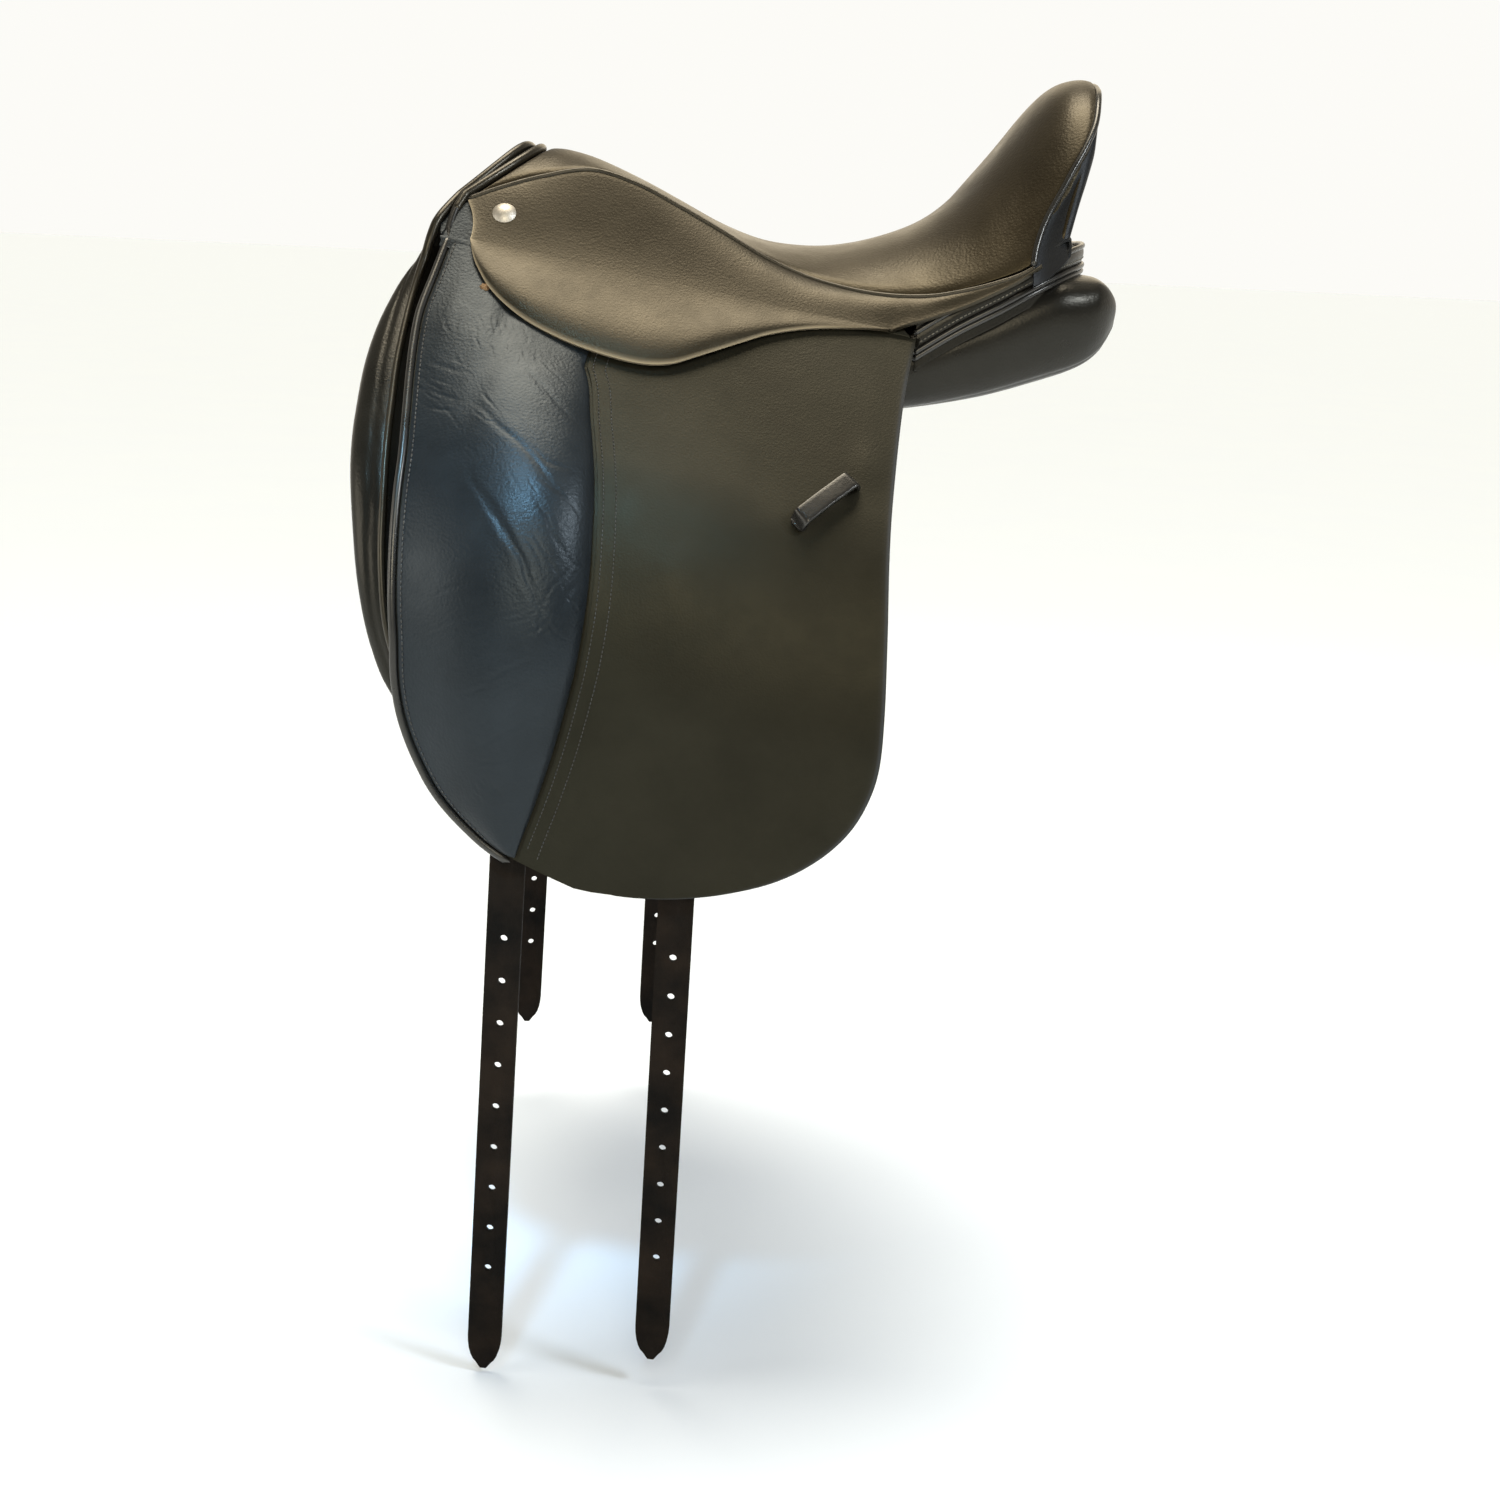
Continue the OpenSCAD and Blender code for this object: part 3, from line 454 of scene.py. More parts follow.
def bandPoint(u, w):        # skirt above its crease, w from the welt down
    u, w = np.broadcast_arrays(np.asarray(u, float), np.asarray(w, float))
    ahead = creaseFront + creaseAt(u)[..., None] * alongCrease
    tail = smoothRow(skirtTail, (u - tailStart) * (len(skirtTail) - 1) / 4.7)
    low = np.where((u < tailStart)[..., None], ahead, tail)
    edge = seatPoint(u, 1)
    top = edge + unit(low - edge) * 2.2
    pull = low - creaseDown * np.linalg.norm(low - top, axis=-1, keepdims=True) * 0.5
    w = w[..., None]
    first, second = top + (pull - top) * w, pull + (low - pull) * w
    return first + (second - first) * w


rimShift = np.array([3.8, 0, -1.5])        # from the seat's last row to the middle of its piping
nearLast = lastRow - 0.02        # where the seat's slope is still defined on both sides


def rimPoint(v):        # piping on the cantle
    return seatPoint(lastRow, v) + rimShift


def backPoint(w, v):        # back of the cantle, w from the rim down
    w, v = np.broadcast_arrays(np.asarray(w, float), np.asarray(v, float))
    base = np.stack([186 - 12 * v * v, 116 * v, 121 + 4 * v * v], -1)
    end = seatEnd(v)
    rim = seatPoint(end, v) + rimShift - faceOut(seatPoint, np.minimum(end, nearLast), v) * sideDish(end, v)[..., None]
    edge = rim + unit(base - rim) * 3.6
    hollow = -4 * np.sin(math.pi * w) * (1 - v * v)
    return edge + (base - edge) * w[..., None] + hollow[..., None] * np.array([1, 0, 0])


def headPoint(v, ahead, bulge):        # line over the pommel ahead of the seat
    v = np.asarray(v, float)
    d = seatPoint(0, v + 0.01) - seatPoint(0, v - 0.01)
    flat = unit(np.stack([-d[..., 1], d[..., 0], np.zeros_like(v)], -1))
    out = (bulge * np.sin(math.pi * np.abs(v)))[..., None] * np.array([-0.6, 0, 0.8])
    return seatPoint(0, v) + ahead * flat - (3 * v * v)[..., None] * np.array([1, 0, 0]) + out


frontWelt = {"ahead": 11.5, "bulge": 3.5}        # line of the front pommel welt


def pommelPoint(w, v):        # face of the pommel, w from the front welt down
    w, v = np.broadcast_arrays(np.asarray(w, float), np.asarray(v, float))
    welt = headPoint(v, frontWelt["ahead"], frontWelt["bulge"])
    arch = np.stack([-214 - 22 * v * v, 50 * v, 134 - 42 * v * v], -1)
    edge = welt + unit(arch - welt) * 3.6
    return edge + (arch - edge) * w[..., None] + (-7 * np.sin(math.pi * w))[..., None] * np.array([1, 0, 0])


facingPath = [
    [72, 124, 43], [98, 125, 60], [127, 124, 76], [152, 117, 90],
    [174, 100, 100], [190, 72, 105], [198, 36, 107], [200, 0, 107],
]
facingMid = len(facingPath) - 1
facingHigh = 17


def facingPoint(u, w):        # rear facing round the back of the cantle
    u, w = np.broadcast_arrays(np.asarray(u, float), np.asarray(w, float))
    p = smoothRow(facingPath, facingMid - np.abs(facingMid - u))
    flip = np.where(u > facingMid, -1.0, 1.0)
    return np.stack([p[..., 0], p[..., 1] * flip, p[..., 2] + facingHigh * w], -1)


flapFront = [        # down and along, as in the next outlines
    [0, -11], [34, -11.5], [66, -12], [91, -9], [118, -4], [151, 3], [181, 9], [209, 13], [242, 18.5], [281, 26],
    [307, 32], [334, 37.5], [358, 46], [382, 60], [405, 79], [425, 106], [435, 126], [442, 150], [448, 176],
]
flapRear = [
    [0, 320], [54, 321], [136, 328], [182, 334], [243, 345], [288, 353], [322, 357], [345, 355], [369, 347],
    [392, 331], [412, 308], [427, 280], [438, 250], [445, 218], [448, 188],
]
blockRear = [
    [46, 25], [52, 34], [60, 47], [68, 68], [75, 88], [84, 105], [126, 120], [172, 134], [214, 143],
    [254, 149], [293, 151], [321, 150], [356, 147], [392, 142], [420, 137], [438, 134],
]
skirtEdge = [
    [2, 0.4], [5, 8], [11, 20], [27, 40], [53, 58], [84, 69], [113, 74], [141, 75], [161, 70],
    [179, 58], [203, 40], [221, 27], [248, 14], [279, 5], [300, 0.4],
]
flapLength = flapFront[-1][0]
blockSpan = (84, blockRear[-1][0])
skirtSpan = (skirtEdge[0][0], skirtEdge[-1][0])


def blockBack(t):        # rear edge of the knee block
    return edgeAt(blockRear, np.clip(t, *blockSpan))


def skirtReach(s):        # how far the skirt hangs below its crease
    return edgeAt(skirtEdge, np.clip(s, *skirtSpan))


# finishes

def addNode(tree, kind, inputs=None, **settings):
    node = tree.nodes.new(kind)
    for key, value in settings.items():
        setattr(node, key, value)
    for key, value in (inputs or {}).items():
        node.inputs[key].default_value = value
    return node


def rampNode(tree, source, stops):        # stops are pairs of place and colour
    ramp = addNode(tree, "ShaderNodeValToRGB")
    while len(ramp.color_ramp.elements) < len(stops):
        ramp.color_ramp.elements.new(0.5)
    for element, (place, colour) in zip(ramp.color_ramp.elements, stops):
        element.position = place
        element.color = (*colour, 1)
    tree.links.new(source, ramp.inputs["Fac"])
    return ramp.outputs["Color"]


def rangeNode(tree, source, low, high, fromLow=0.3, fromHigh=0.7):
    ends = {"From Min": fromLow, "From Max": fromHigh, "To Min": low, "To Max": high}
    node = addNode(tree, "ShaderNodeMapRange", ends)
    tree.links.new(source, node.inputs["Value"])
    return node.outputs["Result"]


def noiseNode(tree, place, scale, detail=3, rough=0.55):
    node = addNode(tree, "ShaderNodeTexNoise", {"Scale": scale, "Detail": detail, "Roughness": rough})
    tree.links.new(place, node.inputs["Vector"])
    return node.outputs["Fac"]


def bumpNode(tree, height, strength, distance, after=None):
    node = addNode(tree, "ShaderNodeBump", {"Strength": strength, "Distance": distance})
    tree.links.new(height, node.inputs["Height"])
    if after is not None:
        tree.links.new(after, node.inputs["Normal"])
    return node.outputs["Normal"]


def newFinish(name, settings):
    finish = bpy.data.materials.new(name)
    finish.use_nodes = True
    shader = finish.node_tree.nodes["Principled BSDF"]
    for key, value in settings.items():
        shader.inputs[key].default_value = value
    return finish, finish.node_tree, shader


def leatherFinish(name, look):
    tint = (*look.get("tint", (1, 1, 1)), 1)
    finish, tree, shader = newFinish(name, {"Specular IOR Level": look["gleam"], "Specular Tint": tint})
    place = addNode(tree, "ShaderNodeTexCoord").outputs["Object"]
    patches = noiseNode(tree, place, look.get("patch", 14), 4)
    colour = rampNode(tree, patches, [(0.35, look["deep"]), (0.68, look["pale"])])
    if "worn" in look:        # rubbed edge colour, partly a painted highlight on the cut edge, where the edge mark is high
        mark = addNode(tree, "ShaderNodeAttribute", attribute_name="edge").outputs["Fac"]
        mix = addNode(tree, "ShaderNodeMix", data_type="RGBA")
        tree.links.new(mark, mix.inputs["Factor"])
        tree.links.new(colour, mix.inputs["A"])
        mix.inputs["B"].default_value = (*look["worn"], 1)
        colour = mix.outputs["Result"]
    tree.links.new(colour, shader.inputs["Base Color"])
    cloud = noiseNode(tree, place, 38, 8, 0.66)
    tree.links.new(rangeNode(tree, cloud, *look["rough"]), shader.inputs["Roughness"])
    cells = {"Scale": 1000 / look["grain"], "Randomness": 0.95}        # grain in millimetres
    grain = addNode(tree, "ShaderNodeTexVoronoi", cells, feature="SMOOTH_F1")
    tree.links.new(place, grain.inputs["Vector"])
    normal = bumpNode(tree, grain.outputs["Distance"], look.get("grainStrength", 0.5), 0.0003)
    pores = noiseNode(tree, place, 420, 4, 0.6)
    tree.links.new(bumpNode(tree, pores, 0.2, 0.0003, normal), shader.inputs["Normal"])
    return finish


def metalFinish(name, colour, rough, brush):
    finish, tree, shader = newFinish(name, {"Metallic": 1.0, "Base Color": (*colour, 1)})
    place = addNode(tree, "ShaderNodeTexCoord").outputs["Object"]
    turned = addNode(tree, "ShaderNodeMapping", {"Scale": brush})
    tree.links.new(place, turned.inputs["Vector"])
    streak = noiseNode(tree, turned.outputs["Vector"], 300, 4, 0.7)
    tree.links.new(rangeNode(tree, streak, *rough), shader.inputs["Roughness"])
    tint = noiseNode(tree, place, 60, 3)
    dull = [c * 0.82 for c in colour]
    tree.links.new(rampNode(tree, tint, [(0.3, dull), (0.7, colour)]), shader.inputs["Base Color"])
    tree.links.new(bumpNode(tree, streak, 0.15, 0.0001), shader.inputs["Normal"])
    return finish


def beechFinish(name, tones):
    finish, tree, shader = newFinish(name, {"Specular IOR Level": 0.35})
    place = addNode(tree, "ShaderNodeTexCoord").outputs["Object"]
    turned = addNode(tree, "ShaderNodeMapping", {"Scale": (0.12, 1, 1)})
    tree.links.new(place, turned.inputs["Vector"])
    grain = noiseNode(tree, turned.outputs["Vector"], 180, 5, 0.65)
    tree.links.new(rampNode(tree, grain, list(zip((0.3, 0.55, 0.75), tones))), shader.inputs["Base Color"])
    tree.links.new(rangeNode(tree, grain, 0.5, 0.68), shader.inputs["Roughness"])
    tree.links.new(bumpNode(tree, grain, 0.2, 0.0003), shader.inputs["Normal"])
    return finish


def webFinish(name, deep, pale):
    finish, tree, shader = newFinish(name, {"Specular IOR Level": 0.2, "Sheen Weight": 0.2})
    place = addNode(tree, "ShaderNodeTexCoord").outputs["Object"]
    weave = addNode(tree, "ShaderNodeMath", operation="MULTIPLY")
    for socket, way in zip(weave.inputs, ("X", "Z")):
        lines = addNode(tree, "ShaderNodeTexWave", {"Scale": 210, "Distortion": 0.6, "Detail": 2}, bands_direction=way)
        tree.links.new(place, lines.inputs["Vector"])
        tree.links.new(lines.outputs["Fac"], socket)
    tree.links.new(rampNode(tree, weave.outputs["Value"], [(0, deep), (0.7, pale)]), shader.inputs["Base Color"])
    tree.links.new(rangeNode(tree, noiseNode(tree, place, 50), 0.75, 0.9), shader.inputs["Roughness"])
    tree.links.new(bumpNode(tree, weave.outputs["Value"], 0.6, 0.0004), shader.inputs["Normal"])
    return finish


seatLook = leatherFinish("seatLeather", {
    "deep": (0.012, 0.0092, 0.0052), "pale": (0.021, 0.016, 0.009), "rough": (0.32, 0.44),
    "grain": 1.8, "gleam": 0.38, "tint": (1, 0.82, 0.5),
})
# the skirt's edge colour is a rubbed edge tone brightened into a painted highlight along the cut edges
skirtLook = leatherFinish("skirtLeather", {
    "deep": (0.009, 0.008, 0.0056), "pale": (0.017, 0.0147, 0.0102), "rough": (0.35, 0.46),
    "grain": 1.5, "grainStrength": 0.35, "gleam": 0.48, "tint": (1, 0.84, 0.57), "worn": (0.3, 0.25, 0.17),
})
# the flap's edge colour is a thin blue-grey line on the rear edge: cut edge tone and painted highlight
flapLook = leatherFinish("flapLeather", {
    "deep": (0.006, 0.0058, 0.004), "pale": (0.012, 0.0112, 0.0076), "rough": (0.42, 0.54),
    "grain": 1.4, "grainStrength": 0.35, "gleam": 0.25, "tint": (1, 0.92, 0.65), "worn": (0.04, 0.043, 0.05),
})
# bluish base colour and reflection tint: partly the block's blue-black leather, partly a painted blue sheen in place of
# the cool window reflection
blockLook = leatherFinish("blockLeather", {
    "deep": (0.0078, 0.0098, 0.0116), "pale": (0.0125, 0.0158, 0.0188), "rough": (0.33, 0.44),
    "grain": 1.9, "gleam": 0.3, "tint": (0.82, 0.93, 1.0),
})
panelLook = leatherFinish("panelLeather", {
    "deep": (0.006, 0.0057, 0.0048), "pale": (0.0105, 0.0098, 0.008), "rough": (0.26, 0.36),
    "grain": 1.6, "grainStrength": 0.35, "gleam": 0.3, "tint": (1, 0.94, 0.8),
})
pipingLook = leatherFinish("pipingLeather", {
    "deep": (0.008, 0.0078, 0.0075), "pale": (0.014, 0.0135, 0.0125), "rough": (0.24, 0.34),
    "grain": 1.1, "grainStrength": 0.12, "gleam": 0.7, "tint": (1, 0.97, 0.9),
})
weltLook = leatherFinish("weltLeather", {
    "deep": (0.009, 0.008, 0.0058), "pale": (0.016, 0.014, 0.010), "rough": (0.28, 0.38),
    "grain": 1.1, "grainStrength": 0.12, "gleam": 0.6, "tint": (1, 0.9, 0.72),
})
backLook = leatherFinish("cantleLeather", {
    "deep": (0.006, 0.0068, 0.008), "pale": (0.010, 0.0112, 0.013), "rough": (0.4, 0.52),
    "grain": 1.4, "grainStrength": 0.3, "gleam": 0.2,
})
billetLook = leatherFinish("billetLeather", {
    "deep": (0.005, 0.0042, 0.0034), "pale": (0.017, 0.0115, 0.0078), "rough": (0.6, 0.75),
    "grain": 1.3, "gleam": 0.07, "patch": 26,
})
liningLook = leatherFinish("liningLeather", {
    "deep": (0.010, 0.0095, 0.009), "pale": (0.017, 0.016, 0.015), "rough": (0.55, 0.68),
    "grain": 1.0, "gleam": 0.35,
})
rawLook = leatherFinish("rawLeather", {
    "deep": (0.12, 0.065, 0.03), "pale": (0.3, 0.19, 0.1), "rough": (0.7, 0.85),
    "grain": 0.5, "gleam": 0.2, "patch": 300,
})
threadLook = leatherFinish("waxedThread", {
    "deep": (0.03, 0.028, 0.025), "pale": (0.06, 0.056, 0.05), "rough": (0.4, 0.55),
    "grain": 0.3, "gleam": 0.5, "patch": 200,
})
# pale thread colour, used for the facing seam
paleThreadLook = leatherFinish("lightThread", {
    "deep": (0.09, 0.08, 0.06), "pale": (0.2, 0.18, 0.14), "rough": (0.4, 0.55),
    "grain": 0.3, "gleam": 0.5, "patch": 200,
})
steelLook = metalFinish("forgedSteel", (0.52, 0.52, 0.53), (0.28, 0.42), (1, 1, 6))
studLook = metalFinish("studMetal", (0.6, 0.56, 0.49), (0.44, 0.58), (3, 3, 3))
beechLook = beechFinish("beech", [(0.42, 0.25, 0.12), (0.56, 0.36, 0.19), (0.63, 0.44, 0.25)])
# near-black finish for the tree points: painted shade, so that where they show in the slot between flap and roll they
# read as its shadow
slotShadeLook = beechFinish("slotShadeBeech", [(0.012, 0.01, 0.008), (0.02, 0.016, 0.012), (0.03, 0.024, 0.018)])
webLook = webFinish("girthWeb", (0.32, 0.28, 0.2), (0.6, 0.55, 0.44))
print("finishes made")


# camera, floor and light

cameraPlace = {
    "place": (-0.120, -1.550, 0.120), "angle": 40.81,
    "right": (0.9976981, -0.0503384, 0.0454374), "down": (0.0313539, -0.2516920, -0.9672994),
    "ahead": (0.0601285, 0.9664974, -0.2495344),
}
deselect()
bpy.ops.object.camera_add(location=cameraPlace["place"])
camera = bpy.context.object
right, down, ahead = (Vector(cameraPlace[k]) for k in ("right", "down", "ahead"))
turned = Matrix((right, -down, -ahead)).transposed().to_4x4()
camera.matrix_world = Matrix.Translation(cameraPlace["place"]) @ turned
camera.data.angle = math.radians(cameraPlace["angle"])
camera.data.clip_start = 0.01
scene.camera = camera
scene.view_settings.view_transform = "Standard"

studioLight = {
    "floorColour": (0.8, 0.88, 1.0),
    "ceiling": {"aim": (0.05, -0.19, -1), "spread": 36, "power": 3.2, "colour": (1.0, 0.91, 0.75)},
    "lamps": [        # name, place, aim, size, power, colour
        ("warmFront", (-0.2, -2.1, 0.85), (-0.1, -0.2, -0.1), 1.0, 17, (1.0, 0.93, 0.76)),
        ("sideFill", (-2.3, -0.8, 0.4), (-0.25, -0.15, 0), 1.1, 13, (1.0, 0.95, 0.86)),
        ("warmRear", (0.5, 2.2, 1.1), (0.05, 0, 0.1), 1.4, 8, (1.0, 0.84, 0.58)),
        ("smallRight", (1.7, -1.3, 1.5), (0.15, 0, 0.1), 0.5, 32, (0.86, 0.93, 1.0)),
    ],
    "window": {
        "place": (-0.4, -1.2, 1.56), "aim": (-0.25, -0.25, -0.15), "cone": 9, "size": 0.16,
        "power": 290, "colour": (0.36, 0.7, 1.0),
    },
    "skyTones": [        # height and colour
        (0.0, (0.9, 0.84, 0.73)), (0.17, (0.92, 0.86, 0.75)), (0.4, (0.34, 0.31, 0.26)), (1.0, (0.3, 0.275, 0.23)),
    ],
    "backdrop": (0.975, 0.966, 0.93),
}


def addLight(kind, name, place, way, power, colour):
    deselect()
    bpy.ops.object.light_add(type=kind, location=place)
    lamp = bpy.context.object
    lamp.name = name
    lamp.data.energy = power
    lamp.data.color = colour
    lamp.rotation_euler = Vector(way).to_track_quat("-Z", "Y").to_euler()
    return lamp.data


for name, place, aim, size, power, colour in studioLight["lamps"]:
    addLight("AREA", name, place, Vector(aim) - Vector(place), power, colour).size = size
window = studioLight["window"]
windowWay = Vector(window["aim"]) - Vector(window["place"])
windowLamp = addLight("SPOT", "window", window["place"], windowWay, window["power"], window["colour"])
windowLamp.shadow_soft_size = window["size"]
windowLamp.spot_size = math.radians(window["cone"])
windowLamp.spot_blend = 1
ceiling = studioLight["ceiling"]
ceilingLamp = addLight("SUN", "ceiling", (0, 0, 3), ceiling["aim"], ceiling["power"], ceiling["colour"])
ceilingLamp.angle = math.radians(ceiling["spread"])

deselect()
bpy.ops.mesh.primitive_plane_add(size=90, location=(0, 0, min(c[2] for c in cadBox) - 0.004))
floor = bpy.context.object
floor.name = "floor"
floorLook, floorTree, floorShader = newFinish("paleFloor", {"Roughness": 0.9, "Specular IOR Level": 0.1})
floorPlace = addNode(floorTree, "ShaderNodeTexCoord").outputs["Object"]
floorTint = noiseNode(floorTree, floorPlace, 3)
floorTones = [(0.2, studioLight["floorColour"]), (0.8, [min(1, c + 0.012) for c in studioLight["floorColour"]])]
floorTree.links.new(rampNode(floorTree, floorTint, floorTones), floorShader.inputs["Base Color"])
floor.data.materials.append(floorLook)

world = scene.world or bpy.data.worlds.new("studio")
scene.world = world
world.use_nodes = True
sky = world.node_tree
skyWay = addNode(sky, "ShaderNodeTexCoord").outputs["Generated"]
skyParts = addNode(sky, "ShaderNodeSeparateXYZ")
sky.links.new(skyWay, skyParts.inputs["Vector"])
skyTall = rampNode(sky, skyParts.outputs["Z"], studioLight["skyTones"])
skyBack = rangeNode(sky, skyParts.outputs["Y"], 0.16, 1.0, -0.15, 0.3)        # dim behind the camera
skyMix = addNode(sky, "ShaderNodeMix", data_type="RGBA", blend_type="MULTIPLY")
skyMix.inputs["Factor"].default_value = 1
sky.links.new(skyTall, skyMix.inputs["A"])
sky.links.new(skyBack, skyMix.inputs["B"])
skySeen = addNode(sky, "ShaderNodeMix", data_type="RGBA")        # plain backdrop for the camera alone
skySeen.inputs["B"].default_value = (*studioLight["backdrop"], 1)
sky.links.new(addNode(sky, "ShaderNodeLightPath").outputs["Is Camera Ray"], skySeen.inputs["Factor"])
sky.links.new(skyMix.outputs["Result"], skySeen.inputs["A"])
sky.links.new(skySeen.outputs["Result"], sky.nodes["Background"].inputs["Color"])
sky.nodes["Background"].inputs["Strength"].default_value = 1.0
print("camera and light set")


# seat

seatPad = {
    "rows": 110, "top": 50, "under": 16, "deep": 13, "thin": 9.5, "plump": 3.4, "plumpRow": 15.7, "thinFrom": 15.2,
    "sideDrop": 2.6, "edgeDrop": 2.0, "edgeWidth": 4, "pressure": 4, "cap": 2.2, "fill": 0.75,
}
rimCurve = [        # v and u of the rim piping, from the middle of the cantle outwards
    [0, 17], [0.41, 17], [0.526, 17], [0.636, 16.98], [0.7, 16.84], [0.78, 16.4],
    [0.838, 15.72], [0.874, 15.12], [0.91, 14.76], [0.96, 14.5], [1, 14.4],
]


def pastRim(u, v):        # distance in millimetres behind the rim piping
    return (u - edgeAt(rimCurve, np.clip(np.abs(v), 0, 1))) * 20


def seatEnd(v):        # last row of the seat, further forward at its sides
    return lastRow - 1.25 * np.clip((np.abs(v) - 0.72) / 0.28, 0, 1) ** 1.2


def drawn(u, v):        # rows near the cantle, drawn to the end of the seat
    return np.where(u > 14, 14 + (u - 14) * (seatEnd(v) - 14) / 3, u)


def sideDish(u, v):        # how far the side of the cantle lies inside the seat's own curve
    wide = np.clip(pastRim(u, v) / 14, 0, 1)
    return 4 * np.sin(math.pi / 2 * wide)


def buildSeat(size):
    u = lastRow * np.linspace(0, 1, size["rows"])[:, None]
    edge = smoothRow(seatRows, u[:, 0])[:, 3:4]
    v = np.sin(math.pi / 2 * np.linspace(-1, 1, size["top"]))[None] * (1 - 1.8 / edge)
    u2 = drawn(np.broadcast_to(u, v.shape), v)
    top = seatPoint(u2, v)
    steps = np.linalg.norm(np.diff(top, axis=0), axis=-1)
    run = np.concatenate([np.zeros((1, v.shape[1])), np.cumsum(steps, 0)])
    inset = np.minimum(np.minimum((1 - np.abs(v)) * edge, run + 1), run[-1:] - run)
    out = faceOut(seatPoint, u2, v)
    tuck = size["sideDrop"] * smooth(pastRim(u2, v) / 5) + sideDish(u2, v)
    tuck = tuck + size["edgeDrop"] * np.exp(-(inset / size["edgeWidth"]) ** 2)
    plump = size["plump"] * np.exp(-((u2 - size["plumpRow"]) / 1.3) ** 2) * (1 - np.abs(v) ** 4)
    top = top + out * (plump - tuck)[..., None]
    w = np.linspace(1, -1, size["under"])[None] * (1 - 3 / edge)
    u3 = drawn(np.broadcast_to(u, w.shape), w)
    deep = size["thin"] + (size["deep"] - size["thin"]) * (1 - np.abs(w) ** 4) + sideDish(u3, w) * 0.8
    deep = deep * (1 - 0.72 * np.clip((u - size["thinFrom"]) / 1.4, 0, 1))        # thinner inside the cantle
    under = seatPoint(u3, w) - faceOut(seatPoint, u3, w) * deep[..., None]
    rings = np.concatenate([top, under], 1)
    inset = np.concatenate([inset, np.zeros_like(w)], 1)
    piece = closedPiece("seatPad", rings)
    setMark(piece, "inset", np.concatenate([inset, inset[:, :1]], 1))
    sealPiece(piece)
    swell(piece, getMark(piece, "inset") < 3, size["pressure"], size["cap"])
    refine(piece, 1)
    smoothShade(piece, 50)
    return piece


seat = settle(buildSeat(seatPad), "root", seatLook, "seat_leather", "seat_cover", "seat_foam")
print("seat made")


# welts between seat and skirt, on the cantle and over the pommel

seatWelt = {"radius": 1.7, "from": 0.05, "to": 14.5, "lower": 0.9}
cantleWelt = {"radius": 2.3, "shift": (-3.0, 0, -2.4)}
pommelWelt = {
    "radius": 3.3, "rear": 4.1, "front": frontWelt["ahead"], "bulge": frontWelt["bulge"],
    "rearEnd": [[-257, 79, 117], [-260, 86, 109]], "frontEnd": [[-264, 75, 119], [-269, 81, 107]],
}

weltPath = seatPoint(np.linspace(seatWelt["from"], seatWelt["to"], 200), 1) - np.array([0, 0, seatWelt["lower"]])
seatBead = beadPiece("leftSeatWelt", weltPath * mirror, seatWelt["radius"])
bothSides(seatBead, "root", weltLook, "piping_leather", "left_seat_welt")


def wholePath(half, gap):        # a half from the middle outwards, and its mirror image
    return resample(np.concatenate([half[:0:-1] * mirror, half]), gap)


def rimPath():
    v = np.concatenate([np.linspace(0, 0.68, 40), np.linspace(0.68, 1, 50)[1:]])
    u = edgeAt(rimCurve, v)
    over = rimPoint(v) + np.array(cantleWelt["shift"])
    beside = seatPoint(u, v) + faceOut(seatPoint, np.minimum(u, nearLast), v) * 0.4
    share = smooth((v - 0.25) / 0.3)[:, None]        # over the top in the middle, beside the seat further down
    half = over * (1 - share) + beside * share
    return wholePath(half, 2)


rimBead = beadPiece("cantleWelt", rimPath(), cantleWelt["radius"], (1, 0, 0.3))
settle(rimBead, "root", pipingLook, "piping_leather", "cantle_welt")

frontRoll = {
    "rows": 90, "around": 44, "depth": 30, "mid": -33.3, "pressure": 4, "cap": 2, "fill": 0.8, "groove": 8.5,
    "front": [        # down and along, as for the rear edge and the crest
        [-26, -31], [-12, -34], [4, -38], [31, -45], [62, -48], [98, -47], [135, -42], [184, -33],
        [237, -19], [279, -7], [318, 7], [341, 19], [359, 34],
    ],
    "rear": [
        [-26, -16], [-12, -8], [4, -4], [31, 4], [70, 14], [112, 18], [150, 48], [200, 75],
        [260, 88], [310, 91], [335, 80], [359, 60],
    ],
    "crest": [
        [-26, -27], [4, -27], [30, -27.5], [58, -26], [102, -21], [138, -14.5], [176, -7.5], [206, -1.5],
        [261, 9.5], [310, 24], [359, 50],
    ],
}
rollWelt = {"high": -18.6, "from": 14, "to": 352, "radius": 2.3}


def rollRise(t):        # the roll climbs to the pommel at its upper end
    return 9 * np.clip(1 - (t + 26) / 70, 0, 1) ** 1.5


def frontWeltHalf():
    arch = headPoint(np.linspace(0.004, 0.98, 60), pommelWelt["front"], pommelWelt["bulge"])
    t = np.linspace(rollWelt["from"], rollWelt["to"], 120)
    fall = np.clip((t - 325) / 34, 0, 1) ** 2 * 6
    side = sidePoint(edgeAt(frontRoll["crest"], t) - 1.0, t, rollWelt["high"] + rollRise(t) - fall)
    keys = np.array([arch[-6], arch[-1], *pommelWelt["frontEnd"], side[0], side[8]])
    join = smoothRow(keys, np.linspace(1, 4, 40))
    return np.concatenate([arch, join[1:-1], side])


def taperedBead(name, path, thick, thin, length):        # thick in the middle, thinner past a given distance from it
    run = runLength(path)
    far = np.abs(run - run[-1] / 2)
    size = thick + (thin - thick) * np.clip((far - length) / 60, 0, 1)
    size = size * roundEnd(np.minimum(run, run[-1] - run), thin)
    return sweepPiece(name, path, roundSection(1, 16)[None] * size[:, None, None], (1, 0, 0.3))


